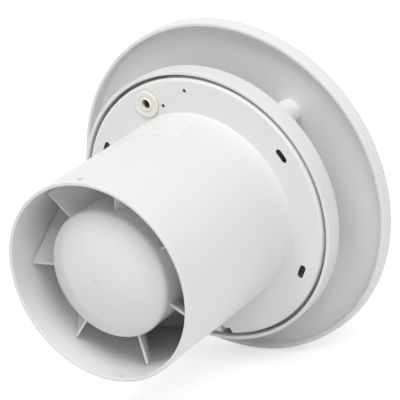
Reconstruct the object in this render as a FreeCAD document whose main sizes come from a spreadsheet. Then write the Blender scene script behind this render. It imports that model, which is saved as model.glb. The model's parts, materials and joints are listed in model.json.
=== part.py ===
import FreeCAD, Part
import math
import os
import re
import Sketcher

# Round extractor fan for a 100 mm duct. The fan's axis is Y: the back plate lies on the wall at Y = 0,
# the duct spigot points to +Y into the wall and the decorative panel faces -Y into the room. +Z is up.
# A clock angle is measured from +Z towards +X.

# Driving sizes: lengths in millimetres, angles in degrees, counts as plain numbers
SIZES = (
    # Back plate and duct spigot
    ("spigot_radius", 49.5),
    ("spigot_wall", 1.8),
    ("spigot_length", 88.8),
    ("spigot_end_round", 0.5),
    ("spigot_root_round", 0.5),
    ("plate_width", 17.2),
    ("plate_thickness", 2.2),
    ("plate_edge_round", 1.6),
    ("skirt_wall", 2.0),
    ("slot_inset", 7.8),
    ("slot_width", 3.2),
    ("slot_length", 7.4),
    ("slot_angle", 60),
    ("slot_turn", -1.7),
    ("slot_lip", 0.6),
    ("slot_relief", 1.2),
    ("pivot_hole_radius", 1.2),
    ("lower_pivot_setback", 2.5),
    ("upper_pivot_setback", 3.9),
    ("upper_pivot_angle", -2.1),
    ("notch_width", 6.2),
    ("notch_depth", 3.2),
    ("notch_across", 1.2),
    ("notch_corner_round", 1.4),
    ("peg_hole_radius", 0.9),
    ("peg_hole_inset", 3.5),
    ("peg_hole_across", 3.05),
    # Casing ring with the inlet mouth
    ("casing_gap", 1.7),
    ("casing_wall", 1.7),
    ("casing_depth", 11.6),
    ("casing_setback", 0.7),
    ("casing_front_wall", 2.0),
    ("casing_edge_round", 1.5),
    ("throat_step", 0.6),
    ("collar_gap", 0.5),
    ("bell_round", 5.0),
    ("socket_wall", 2.0),
    ("socket_end_gap", 0.8),
    # Front panel and its posts
    ("panel_overhang", 17.4),
    ("panel_thickness", 2.6),
    ("panel_edge_round", 3.0),
    ("panel_crown", 1.2),
    ("intake_gap", 18.4),
    ("rim_height", 5.4),
    ("rim_wall", 1.9),
    ("rim_outer_draft", 1.06),
    ("rim_inner_draft", 0.9),
    ("post_angle", 46),
    ("post_radius", 6.0),
    ("post_foot_round", 0.8),
    ("post_pin_radius", 3.0),
    ("post_pin_length", 6.5),
    ("post_seat_gap", 0.3),
    ("pin_clearance", 0.3),
    # Motor cup with its guide vanes
    ("cup_radius", 31.7),
    ("cup_wall", 2.0),
    ("cup_depth", 35.7),
    ("cup_edge_round", 3.0),
    ("nose_height", 11.4),
    ("nose_recess", 0.3),
    ("vane_count", 7),
    ("vane_pitch", 313),
    ("vane_thickness", 1.5),
    ("vane_length", 33.0),
    ("vane_setback", 1.6),
    ("vane_angle", 36.3),
    ("vane_tip_gap", 0.1),
    ("vane_root", 1.0),
    # Impeller
    ("hub_step", 0.6),
    ("hub_wall", 2.2),
    ("hub_gap", 1.5),
    ("hub_edge_round", 6.0),
    ("hub_boss_radius", 6.0),
    ("hub_boss_length", 16.0),
    ("blade_count", 8),
    ("blade_pitch", 160),
    ("blade_thickness", 2.2),
    ("blade_length", 23.0),
    ("blade_setback", 2.0),
    ("blade_lead", 1.0),
    ("blade_tip_gap", 1.3),
    ("blade_root", 1.2),
    ("blade_angle", 0),
    ("shaft_fit", 0.02),
    # Motor
    ("shaft_radius", 2.0),
    ("shaft_front_length", 3.0),
    ("shaft_rear_length", 1.0),
    ("shaft_end_bevel", 0.4),
    ("clip_radius", 5.0),
    ("clip_thickness", 1.0),
    ("bracket_recess", 0.4),
    ("bracket_fit", 0.15),
    ("bracket_plate", 2.0),
    ("bracket_rim", 6.6),
    ("bracket_rim_wall", 3.2),
    ("bearing_radius", 4.5),
    ("bearing_fit", 0.02),
    ("bearing_length", 6.0),
    ("bearing_clearance", 0.05),
    ("bearing_boss_wall", 2.5),
    ("washer_radius", 4.0),
    ("washer_thickness", 0.8),
    ("washer_gap", 0.3),
    ("core_lap", 1.25),
    ("core_length", 14.0),
    ("yoke_width", 6.5),
    ("tooth_width", 8.0),
    ("tooth_length", 7.6),
    ("shoe_depth", 2.0),
    ("shoe_angle", 66),
    ("air_gap", 0.5),
    ("end_ring_step", 0.7),
    ("end_ring_length", 1.2),
    ("rotor_sleeve_radius", 4.5),
    ("coil_width", 4.0),
    ("coil_overhang", 4.0),
    ("coil_gap", 0.3),
    ("motor_screw_angle", 45),
    ("motor_screw_radius", 1.5),
    ("motor_screw_head_radius", 2.7),
    ("motor_screw_head_length", 1.8),
    ("motor_screw_bite", 3.6),
    ("screw_clearance", 0.2),
    ("thread_fit", 0.02),
    ("cup_boss_radius", 3.6),
    # Cable entry and connections
    ("grommet_angle", 19.6),
    ("grommet_edge_gap", 0.35),
    ("grommet_flange", 1.8),
    ("grommet_recess", 0.9),
    ("grommet_recess_gap", 0.3),
    ("grommet_groove_radius", 4.3),
    ("grommet_groove_width", 0.9),
    ("grommet_groove_depth", 0.5),
    ("grommet_collar_rise", 0.3),
    ("grommet_bore_radius", 2.4),
    ("grommet_neck_radius", 4.8),
    ("grommet_inner_step", 1.3),
    ("grommet_inner_flange", 1.4),
    ("grommet_fit", 0.05),
    ("clamp_collar_gap", 1.4),
    ("clamp_skirt_gap", 0.5),
    ("clamp_grommet_gap", 0.5),
    ("clamp_turn", 14.6),
    ("clamp_screw_radius", 1.0),
    ("clamp_screw_head_radius", 2.2),
    ("clamp_screw_head_length", 1.4),
    ("clamp_screw_tip_gap", 1.0),
    ("clamp_end", 2.4),
    ("clamp_width", 5.0),
    ("clamp_height", 5.0),
    ("clamp_arch_radius", 3.0),
    ("block_angle", -25),
    ("block_length", 18.0),
    ("block_width", 10.6),
    ("block_height", 6.4),
    ("terminal_pitch", 8.6),
    ("terminal_tunnel_radius", 1.4),
    ("terminal_wall", 0.6),
    ("terminal_fit", 0.05),
    ("terminal_screw_radius", 1.2),
    ("terminal_screw_head_radius", 1.7),
    ("terminal_screw_sink", 0.5),
    ("terminal_length", 8.0),
    # Casing fixing screw
    ("casing_screw_radius", 1.45),
    ("casing_screw_head_radius", 2.7),
    ("casing_screw_head_length", 1.5),
    ("casing_screw_length", 7.0),
    ("casing_screw_depth", 5.6),
    ("casing_screw_angle", 155),
    ("casing_boss_radius", 3.0),
    ("casing_boss_length", 3.0),
    # One overrun for every cut
    ("overrun", 5.0),
)

# Sizes and places worked out from the driving sizes
DERIVED = (
    ("spigot_bore", "spigot_radius - spigot_wall"),
    ("plate_radius", "spigot_radius + plate_width"),
    ("slot_circle_radius", "plate_radius - slot_inset"),
    ("flat_inner", "spigot_radius + spigot_root_round"),
    ("flat_outer", "plate_radius - plate_edge_round"),
    ("skirt_bore", "plate_radius - skirt_wall"),
    ("casing_bore", "plate_radius + casing_gap"),
    ("casing_radius", "casing_bore + casing_wall"),
    ("casing_inside", "casing_depth - casing_front_wall"),
    ("throat_radius", "spigot_bore - throat_step"),
    ("collar_radius", "throat_radius + casing_front_wall"),
    ("collar_end", "plate_thickness + collar_gap"),
    ("channel_radius", "(collar_radius + skirt_bore) / 2"),
    ("panel_radius", "casing_radius + panel_overhang"),
    ("socket_bore", "post_pin_radius + pin_clearance"),
    ("socket_radius", "socket_bore + socket_wall"),
    ("socket_length", "casing_inside - plate_thickness - socket_end_gap"),
    ("panel_inside", "casing_depth + intake_gap"),
    ("panel_face", "panel_inside + panel_thickness"),
    ("lip_radius", "panel_radius - rim_outer_draft"),
    ("lip_bore", "lip_radius - rim_wall"),
    ("lip_end", "panel_inside - rim_height"),
    ("rim_root_bore", "lip_bore - rim_inner_draft"),
    ("crown_radius", "(panel_radius ^ 2 + panel_crown ^ 2) / (2 * panel_crown)"),
    ("post_shoulder", "casing_depth + post_seat_gap"),
    ("post_tip", "post_shoulder - post_pin_length"),
    ("cup_nose", "spigot_length - nose_recess"),
    ("cup_shoulder", "cup_nose - nose_height"),
    ("cup_mouth", "cup_shoulder - cup_depth"),
    ("cup_bore", "cup_radius - cup_wall"),
    ("shoulder_radius", "cup_radius - cup_edge_round"),
    ("dome_squares", "shoulder_radius ^ 2 + nose_height ^ 2 - cup_edge_round ^ 2"),
    ("dome_radius", "dome_squares / (2 * (nose_height - cup_edge_round))"),
    ("dome_centre", "cup_nose - dome_radius"),
    ("dome_bore", "dome_radius - cup_wall"),
    ("dome_share", "dome_radius / (dome_radius - cup_edge_round)"),
    ("dome_foot_radius", "shoulder_radius * dome_share"),
    ("dome_foot", "dome_centre + (cup_shoulder - dome_centre) * dome_share"),
    ("dome_bore_share", "dome_bore / (dome_radius - cup_edge_round)"),
    ("dome_bore_foot_radius", "shoulder_radius * dome_bore_share"),
    ("dome_bore_foot", "dome_centre + (cup_shoulder - dome_centre) * dome_bore_share"),
    ("vane_tip", "spigot_bore - vane_tip_gap"),
    ("vane_rear", "cup_shoulder - vane_setback"),
    ("vane_front", "vane_rear - vane_length"),
    ("vane_start", "vane_front - 2 * vane_thickness"),
    ("vane_sweep", "vane_length + 3 * vane_thickness"),
    ("vane_sketch_turn", "vane_angle - 90 - 360 * (vane_rear - vane_start) / vane_pitch"),
    ("hub_radius", "cup_radius - hub_step"),
    ("hub_rear", "cup_mouth - hub_gap"),
    ("hub_length", "blade_setback + blade_length + blade_lead + hub_edge_round"),
    ("hub_front", "hub_rear - hub_length"),
    ("hub_bore", "hub_radius - hub_wall"),
    ("blade_tip", "spigot_bore - blade_tip_gap"),
    ("blade_rear", "hub_rear - blade_setback"),
    ("blade_front", "blade_rear - blade_length"),
    ("blade_start", "blade_front - 2 * blade_thickness"),
    ("blade_sweep", "blade_length + 3 * blade_thickness"),
    ("blade_sketch_turn", "blade_angle - 90"),
    ("shaft_bore", "shaft_radius + shaft_fit"),
    ("clip_front", "hub_front - clip_thickness"),
    ("bracket_front", "cup_mouth + bracket_recess"),
    ("core_front", "bracket_front + bracket_plate + bracket_rim"),
    ("core_rear", "core_front + core_length"),
    ("bracket_rear", "core_rear + bracket_rim + bracket_plate"),
    ("bracket_radius", "cup_bore - bracket_fit"),
    ("bracket_rim_bore", "bracket_radius - bracket_rim_wall"),
    ("core_radius", "bracket_rim_bore + core_lap"),
    ("yoke_bore", "core_radius - yoke_width"),
    ("shoe_radius", "yoke_bore - tooth_length"),
    ("rotor_window", "shoe_radius - shoe_depth"),
    ("rotor_radius", "rotor_window - air_gap"),
    ("bearing_seat", "bearing_radius + bearing_fit"),
    ("bearing_bore", "shaft_radius + bearing_clearance"),
    ("bearing_boss_radius", "bearing_seat + bearing_boss_wall"),
    ("front_bearing_end", "bracket_front + bearing_length"),
    ("rear_bearing_start", "bracket_rear - bearing_length"),
    ("front_washer_start", "front_bearing_end + washer_gap"),
    ("front_washer_end", "front_washer_start + washer_thickness"),
    ("rear_washer_end", "rear_bearing_start - washer_gap"),
    ("rear_washer_start", "rear_washer_end - washer_thickness"),
    ("shaft_front", "clip_front - shaft_front_length"),
    ("shaft_rear", "bracket_rear + shaft_rear_length"),
    ("end_ring_radius", "rotor_radius - end_ring_step"),
    ("end_ring_bore", "(rotor_radius + rotor_sleeve_radius) / 2"),
    ("coil_bottom", "shoe_radius + coil_gap"),
    ("coil_top", "sqrt(yoke_bore ^ 2 - (tooth_width / 2 + coil_gap + coil_width) ^ 2) - coil_gap"),
    ("motor_screw_circle_radius", "core_radius - yoke_width / 2"),
    ("motor_screw_hole", "motor_screw_radius + screw_clearance"),
    ("motor_screw_tip", "bracket_rear + motor_screw_bite"),
    ("motor_screw_thread", "motor_screw_radius + thread_fit"),
    ("grommet_circle_radius", "(flat_inner + flat_outer) / 2"),
    ("grommet_recess_radius", "(flat_outer - flat_inner) / 2 - grommet_edge_gap"),
    ("grommet_flange_radius", "grommet_recess_radius - grommet_recess_gap"),
    ("grommet_inner_radius", "grommet_flange_radius - grommet_inner_step"),
    ("grommet_hole", "grommet_neck_radius + grommet_fit"),
    ("grommet_across", "grommet_circle_radius * sin(grommet_angle)"),
    ("grommet_up", "grommet_circle_radius * cos(grommet_angle)"),
    ("grommet_flange_face", "grommet_flange - grommet_recess"),
    ("grommet_face", "grommet_flange_face + grommet_collar_rise"),
    ("grommet_groove_floor", "grommet_flange_face - grommet_groove_depth"),
    ("grommet_collar_radius", "grommet_groove_radius - grommet_groove_width"),
    ("grommet_inner_end", "plate_thickness + grommet_inner_flange"),
    ("clamp_reach", "sqrt(clamp_end ^ 2 + (clamp_width / 2) ^ 2)"),
    ("clamp_hole_a_radius", "collar_radius + clamp_reach + clamp_collar_gap"),
    ("clamp_hole_b_radius", "skirt_bore - clamp_reach - clamp_skirt_gap"),
    ("clamp_grommet_span", "grommet_inner_radius + clamp_reach + clamp_grommet_gap"),
    ("clamp_grommet_squares", "clamp_hole_a_radius ^ 2 + grommet_circle_radius ^ 2 - clamp_grommet_span ^ 2"),
    ("clamp_grommet_share", "clamp_grommet_squares / (2 * clamp_hole_a_radius * grommet_circle_radius)"),
    ("clamp_hole_a_angle", "grommet_angle - acos(clamp_grommet_share) / 1 deg"),
    ("clamp_hole_b_angle", "clamp_hole_a_angle - clamp_turn"),
    ("clamp_a_across", "clamp_hole_a_radius * sin(clamp_hole_a_angle)"),
    ("clamp_a_up", "clamp_hole_a_radius * cos(clamp_hole_a_angle)"),
    ("clamp_b_across", "clamp_hole_b_radius * sin(clamp_hole_b_angle)"),
    ("clamp_b_up", "clamp_hole_b_radius * cos(clamp_hole_b_angle)"),
    ("clamp_span", "sqrt((clamp_b_across - clamp_a_across) ^ 2 + (clamp_b_up - clamp_a_up) ^ 2)"),
    ("clamp_slope", "atan2(clamp_b_up - clamp_a_up; clamp_a_across - clamp_b_across)"),
    ("clamp_length", "clamp_span + 2 * clamp_end"),
    ("clamp_across", "(clamp_a_across + clamp_b_across) / 2"),
    ("clamp_up", "(clamp_a_up + clamp_b_up) / 2"),
    ("clamp_top", "plate_thickness + clamp_height"),
    ("clamp_screw_hole", "clamp_screw_radius + thread_fit"),
    ("clamp_screw_passage", "clamp_screw_radius + screw_clearance"),
    ("block_top", "plate_thickness + block_height"),
    ("block_middle", "plate_thickness + block_height / 2"),
    ("terminal_seat", "terminal_tunnel_radius + terminal_wall"),
    ("terminal_sleeve", "terminal_seat - terminal_fit"),
    ("terminal_screw_well", "terminal_screw_head_radius + screw_clearance"),
    ("terminal_screw_hole", "terminal_screw_radius + thread_fit"),
    ("terminal_screw_face", "block_top - terminal_screw_sink"),
    ("casing_screw_hole", "casing_screw_radius + screw_clearance"),
    ("casing_screw_thread", "casing_screw_radius + thread_fit"),
    ("casing_screw_turn", "casing_screw_angle - 180"),
)

FRONT_TO_BACK = "rotation(vector(1; 0; 0); -90)"
UPRIGHT = "rotation(vector(0; 1; 0); 0)"
EDGE_MATCH = 1e-5
ALIASES = {name for name, value in SIZES + DERIVED}

doc = FreeCAD.newDocument("ExhaustFan")
sheet = doc.addObject("Spreadsheet::Sheet", "Sizes")
nodes = {}


def fill_sheet():
    """Writes every size into its own cell with its name as the alias."""
    row = 0
    for name, value in SIZES + DERIVED:
        row += 1
        text = "=" + value if isinstance(value, str) else str(value)
        sheet.set(f"A{row}", name)
        sheet.set(f"B{row}", text)
        sheet.setAlias(f"B{row}", name)
    doc.recompute()


def bound(text):
    """Turns the size names in a sum into references to the sheet."""
    return re.sub(r"[a-z_]+", lambda word: "Sizes." * (word.group() in ALIASES) + word.group(), text)


def number(text):
    """The present value of a sum of size names."""
    value = sheet.evalExpression(text)
    return float(getattr(value, "Value", value))


def base_plane(body):
    """The body's own XY plane, which holds the fan's axis."""
    return next(plane for plane in body.Origin.OriginFeatures if plane.Role == "XY_Plane")


def arc_middle(start, end, radius, side):
    """A point half way along the arc that bulges to the left (side 1) or right (side -1) of start to end."""
    chord = end - start
    half = chord.Length / 2
    sagitta = radius - math.sqrt(radius ** 2 - half ** 2)
    left = FreeCAD.Vector(-chord.y, chord.x, 0).normalize()
    return (start + end) * 0.5 + left * (side * sagitta)


def outline(body, name, points, turn=None):
    """A closed sketch through (radius, height) sums; a point that adds a radius and a side starts an arc."""
    sketch = body.newObject("Sketcher::SketchObject", name)
    sketch.AttachmentSupport = [(base_plane(body), "")]
    sketch.MapMode = "FlatFace"
    if turn:
        sketch.setExpression(
            "AttachmentOffset", bound(f"placement(vector(0; 0; 0); rotation(vector(0; 1; 0); {turn}))"))
    spots = [FreeCAD.Vector(number(point[0]), number(point[1]), 0) for point in points]
    starts = []
    for index, point in enumerate(points):
        here = spots[index]
        there = spots[(index + 1) % len(points)]
        if len(point) == 2:
            edge = Part.LineSegment(here, there)
        else:
            edge = Part.ArcOfCircle(here, arc_middle(here, there, number(point[2]), point[3]), there)
        sketch.addGeometry(edge, False)
        first = sketch.getPoint(index, 1)
        starts.append(1 if first.distanceToPoint(here) < first.distanceToPoint(there) else 2)
    for index, point in enumerate(points):
        after = (index + 1) % len(points)
        end = 3 - starts[index]
        sketch.addConstraint(Sketcher.Constraint("Coincident", index, end, after, starts[after]))
        for kind, axis, text, place in (("DistanceX", -2, point[0], spots[index].x),
                                        ("DistanceY", -1, point[1], spots[index].y)):
            if text == "0":
                sketch.addConstraint(Sketcher.Constraint("PointOnObject", index, starts[index], axis))
                continue
            made = sketch.addConstraint(Sketcher.Constraint(kind, -1, 1, index, starts[index], place))
            sketch.setExpression(f"Constraints[{made}]", bound(text))
        if len(point) > 2:
            made = sketch.addConstraint(Sketcher.Constraint("Radius", index, number(point[2])))
            sketch.setExpression(f"Constraints[{made}]", bound(point[2]))
    return sketch


def turned(name, points):
    """A body turned about the Y axis from its outline."""
    body = doc.addObject("PartDesign::Body", name)
    sketch = outline(body, name + "_outline", points)
    feature = body.newObject("PartDesign::Revolution", name + "_turned")
    feature.Profile = sketch
    feature.ReferenceAxis = (sketch, ["V_Axis"])
    feature.Angle = 360
    doc.recompute()
    return body


def round_edges(body, size, circles):
    """Rounds the circular edges about Y that lie at the given (radius, height) sums."""
    base = body.Tip
    wanted = [(number(radius), number(height)) for radius, height in circles]
    names = []
    for index, edge in enumerate(base.Shape.Edges, 1):
        if edge.Degenerated or not isinstance(edge.Curve, Part.Circle):
            continue
        place = (edge.Curve.Radius, edge.Curve.Center.y)
        if any(math.dist(place, spot) < EDGE_MATCH for spot in wanted):
            names.append(f"Edge{index}")
    feature = body.newObject("PartDesign::Fillet", body.Name + "_round")
    feature.Base = (base, names)
    feature.setExpression("Radius", bound(size))
    doc.recompute()


def trim(body, name, outer, low, high):
    """Cuts a body away between two heights."""
    sketch = outline(body, name + "_outline", (("0", low), (outer, low), (outer, high), ("0", high)))
    cut = body.newObject("PartDesign::Groove", name)
    cut.Profile = sketch
    cut.ReferenceAxis = (sketch, ["V_Axis"])
    cut.Angle = 360
    doc.recompute()


def helical_blades(kind, inner, left_handed):
    """A ring of helical blades: radial strips swept along Y and cut square at both ends."""
    blades = []
    low = f"{kind}_start"
    high = f"{kind}_start + {kind}_thickness"
    outer = f"{kind}_tip"
    for index in range(int(number(f"{kind}_count"))):
        name = f"{kind}_{index + 1}"
        body = doc.addObject("PartDesign::Body", name)
        sketch = outline(body, name + "_outline", ((inner, low), (outer, low), (outer, high), (inner, high)),
                         f"{kind}_sketch_turn + {index} * 360 / {kind}_count")
        blade = body.newObject("PartDesign::AdditiveHelix", name + "_swept")
        blade.Profile = sketch
        blade.ReferenceAxis = (sketch, ["V_Axis"])
        blade.Mode = "pitch-height-angle"
        blade.LeftHanded = left_handed
        blade.setExpression("Pitch", bound(f"{kind}_pitch"))
        blade.setExpression("Height", bound(f"{kind}_sweep"))
        doc.recompute()
        trim(body, name + "_rear_trim", f"{outer} + overrun", f"{kind}_rear", f"{kind}_rear + overrun")
        trim(body, name + "_front_trim", f"{outer} + overrun", f"{kind}_front - overrun", f"{kind}_front")
        blades.append(body)
    return blades


def placed(shape, across, height, up, turn="0", stand=FRONT_TO_BACK):
    """Binds a shape's place, turned about Y by a clock angle after it is stood along Y."""
    place = f"placement(vector(0; 0; 0); rotation(vector(0; 1; 0); {turn}))"
    place += f" * placement(vector({across}; {height}; {up}); {stand})"
    shape.setExpression("Placement", bound(place))
    return shape


def pin(name, radius, length, across, low, up, turn="0", stand=FRONT_TO_BACK):
    """A round bar along Y from its low end, or along the way that stand gives."""
    bar = doc.addObject("Part::Cylinder", name)
    bar.setExpression("Radius", bound(radius))
    bar.setExpression("Height", bound(length))
    return placed(bar, across, low, up, turn, stand)


def brick(name, width, height, depth, across, low, up, turn="0"):
    """A box by its size along X, Y and Z and the place of its low corner, turned about Y."""
    box = doc.addObject("Part::Box", name)
    box.setExpression("Length", bound(width))
    box.setExpression("Width", bound(height))
    box.setExpression("Height", bound(depth))
    return placed(box, across, low, up, turn, UPRIGHT)


def fused(name, shapes):
    """Several shapes as one solid."""
    whole = doc.addObject("Part::MultiFuse", name)
    whole.Shapes = shapes
    return whole


def without(name, base, tools):
    """A shape less its tools."""
    cut = doc.addObject("Part::Cut", name)
    cut.Base = base
    cut.Tool = tools[0] if len(tools) == 1 else fused(name + "_cuts", tools)
    return cut


def grouped(name, shapes):
    """Separate solids that share a node."""
    group = doc.addObject("Part::Compound", name)
    group.Links = shapes
    return group


def keep(label, shape):
    """Names a finished sub-part."""
    shape.Label = label
    nodes[label] = shape


def corner_angles(angle):
    """The four clock angles of a rectangle's corners, as sums."""
    return angle, f"180 - {angle}", f"180 + {angle}", f"-{angle}"


def quarter_angles(angle):
    """Four clock angles a quarter turn apart, as sums."""
    return [f"{angle} + {quarter}" for quarter in range(0, 360, 90)]


def slot(name, angle):
    """A mounting slot along the circle through its middle, relieved behind a thin lip."""
    straight = "slot_length - slot_width"
    low = "-plate_thickness - overrun"
    parts = []
    for part, radius, high in (("slot", "slot_width / 2", "overrun"),
                               ("relief", "slot_width / 2 + slot_relief", "-slot_lip")):
        through = f"{high} - ({low})"
        parts.append(brick(f"{name}_{part}_middle", straight, through, f"2 * ({radius})",
                           f"-({straight}) / 2", low, f"slot_circle_radius - ({radius})", angle))
        for side in (-1, 1):
            end = "near" if side < 0 else "far"
            parts.append(pin(f"{name}_{part}_{end}_end", radius, through,
                             f"{side} * ({straight}) / 2", low, "slot_circle_radius", angle))
    return fused(name, parts)


def notch(low, through):
    """The notch in the plate's bottom edge, with round inner corners."""
    foot = "-plate_radius - overrun"
    left = "notch_across - notch_width / 2"
    parts = [brick("notch_wide", "notch_width", through, "notch_depth - notch_corner_round + overrun",
                   left, low, foot),
             brick("notch_deep", "notch_width - 2 * notch_corner_round", through, "notch_depth + overrun",
                   left + " + notch_corner_round", low, foot)]
    for side in (-1, 1):
        end = "left" if side < 0 else "right"
        parts.append(pin(f"notch_{end}_corner", "notch_corner_round", through,
                         f"notch_across + {side} * (notch_width / 2 - notch_corner_round)", low,
                         "notch_depth - notch_corner_round - plate_radius"))
    return fused("notch", parts)


def make_spigot_plate():
    body = turned("spigot_plate_body", (
        ("spigot_bore", "-plate_thickness"),
        ("spigot_bore", "spigot_length"),
        ("spigot_radius", "spigot_length"),
        ("spigot_radius", "0"),
        ("plate_radius", "0"),
        ("plate_radius", "-casing_inside"),
        ("skirt_bore", "-casing_inside"),
        ("skirt_bore", "-plate_thickness")))
    round_edges(body, "plate_edge_round", [("plate_radius", "0")])
    round_edges(body, "spigot_root_round", [("spigot_radius", "0")])
    round_edges(body, "spigot_end_round",
                [("spigot_radius", "spigot_length"), ("spigot_bore", "spigot_length")])
    boss = pin("casing_screw_boss", "casing_boss_radius", "casing_boss_length + skirt_wall / 2", "0",
               "-casing_screw_depth", "-skirt_bore - skirt_wall / 2", "casing_screw_turn", UPRIGHT)
    tools = [slot(f"slot_{index}", f"{angle} + slot_turn")
             for index, angle in enumerate(corner_angles("slot_angle"), 1)]
    through = "plate_thickness + 2 * overrun"
    low = "-plate_thickness - overrun"
    tools.append(pin("grommet_hole_cut", "grommet_hole", through, "grommet_across", low, "grommet_up"))
    for end in ("a", "b"):
        tools.append(pin(f"clamp_hole_{end}", "clamp_screw_hole", through,
                         f"clamp_{end}_across", low, f"clamp_{end}_up"))
    for end, angle in (("upper", "upper_pivot_angle"), ("lower", "180")):
        tools.append(pin(f"{end}_pivot_hole", "pivot_hole_radius", "spigot_wall + 2 * overrun", "0",
                         f"spigot_length - {end}_pivot_setback", "spigot_bore - overrun", angle, UPRIGHT))
    tools.append(pin("grommet_recess_cut", "grommet_recess_radius", "grommet_recess + overrun",
                     "grommet_across", "-grommet_recess", "grommet_up"))
    tools.append(notch(low, through))
    tools.append(pin("peg_hole", "peg_hole_radius", through,
                     "peg_hole_across", low, "peg_hole_inset - plate_radius"))
    tools.append(pin("casing_screw_thread_hole", "casing_screw_thread",
                     "casing_boss_length + skirt_wall + overrun", "0", "-casing_screw_depth",
                     "-plate_radius - overrun / 2", "casing_screw_turn", UPRIGHT))
    keep("spigot_plate", without("spigot_plate", fused("spigot_plate_whole", [body, boss]), tools))


def make_front_casing():
    body = turned("front_casing_body", (
        ("casing_bore", "-casing_setback"),
        ("casing_radius", "-casing_setback"),
        ("casing_radius", "-casing_depth"),
        ("throat_radius + bell_round", "-casing_depth", "bell_round", 1),
        ("throat_radius", "bell_round - casing_depth"),
        ("throat_radius", "-collar_end"),
        ("collar_radius", "-collar_end"),
        ("collar_radius", "bell_round - casing_depth", "bell_round - casing_front_wall", -1),
        ("throat_radius + bell_round", "-casing_inside"),
        ("casing_bore", "-casing_inside")))
    round_edges(body, "casing_edge_round", [("casing_radius", "-casing_depth")])
    parts = [body]
    tools = []
    for index, angle in enumerate(corner_angles("post_angle"), 1):
        parts.append(pin(f"socket_{index}", "socket_radius", "socket_length + casing_front_wall / 2",
                         "0", "-casing_inside - casing_front_wall / 2", "channel_radius", angle))
        tools.append(pin(f"socket_bore_{index}", "socket_bore", "casing_depth + overrun",
                         "0", "-casing_depth - overrun", "channel_radius", angle))
    tools.append(pin("casing_screw_passage", "casing_screw_hole", "casing_wall + overrun", "0",
                     "-casing_screw_depth", "-casing_radius - overrun / 2", "casing_screw_turn", UPRIGHT))
    keep("front_casing", without("front_casing", fused("front_casing_whole", parts), tools))


def make_front_panel():
    body = turned("front_panel_body", (
        ("0", "-panel_inside"),
        ("rim_root_bore", "-panel_inside"),
        ("lip_bore", "-lip_end"),
        ("lip_radius", "-lip_end"),
        ("panel_radius", "-panel_face", "crown_radius", 1),
        ("0", "-panel_face - panel_crown")))
    round_edges(body, "panel_edge_round", [("panel_radius", "-panel_face")])
    keep("front_panel", body)


def make_standoff_posts():
    posts = []
    for index, angle in enumerate(corner_angles("post_angle"), 1):
        post = turned(f"post_{index}", (
            ("0", "-panel_inside"),
            ("post_radius", "-panel_inside"),
            ("post_radius", "-post_shoulder"),
            ("post_pin_radius", "-post_shoulder"),
            ("post_pin_radius", "-post_tip"),
            ("0", "-post_tip")))
        round_edges(post, "post_foot_round", [("post_radius", "-post_shoulder")])
        posts.append(placed(post, "0", "0", "channel_radius", angle, UPRIGHT))
    keep("standoff_posts", grouped("standoff_posts", posts))


def make_motor_cup():
    outside = turned("motor_cup_outside", (
        ("0", "cup_mouth"),
        ("cup_radius", "cup_mouth"),
        ("cup_radius", "cup_shoulder", "cup_edge_round", -1),
        ("dome_foot_radius", "dome_foot", "dome_radius", -1),
        ("0", "cup_nose")))
    cavity = turned("motor_cup_cavity", (
        ("0", "cup_mouth - overrun"),
        ("cup_bore", "cup_mouth - overrun"),
        ("cup_bore", "cup_shoulder", "cup_edge_round - cup_wall", -1),
        ("dome_bore_foot_radius", "dome_bore_foot", "dome_bore", -1),
        ("0", "cup_nose - cup_wall")))
    vanes = helical_blades("vane", "cup_radius - vane_root", False)
    bosses = []
    holes = []
    for index, angle in enumerate(quarter_angles("motor_screw_angle"), 1):
        bosses.append(pin(f"cup_boss_{index}", "cup_boss_radius", "cup_nose - bracket_rear",
                          "0", "bracket_rear", "motor_screw_circle_radius", angle))
        holes.append(pin(f"cup_boss_hole_{index}", "motor_screw_thread", "motor_screw_bite + overrun / 2",
                         "0", "bracket_rear - overrun / 2", "motor_screw_circle_radius", angle))
    shell = without("motor_cup_shell", outside, [without("motor_cup_hollow", cavity, bosses)])
    keep("motor_cup", without("motor_cup", fused("motor_cup_whole", [shell] + vanes), holes))


def make_impeller():
    body = turned("impeller_body", (
        ("shaft_bore", "hub_front"),
        ("hub_radius", "hub_front"),
        ("hub_radius", "hub_rear"),
        ("hub_bore", "hub_rear"),
        ("hub_bore", "hub_front + hub_edge_round", "hub_edge_round - hub_wall", 1),
        ("hub_radius - hub_edge_round", "hub_front + hub_wall"),
        ("hub_boss_radius", "hub_front + hub_wall"),
        ("hub_boss_radius", "hub_front + hub_boss_length"),
        ("shaft_bore", "hub_front + hub_boss_length")))
    round_edges(body, "hub_edge_round", [("hub_radius", "hub_front")])
    blades = helical_blades("blade", "hub_radius - blade_root", True)
    keep("impeller", fused("impeller", [body] + blades))


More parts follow.
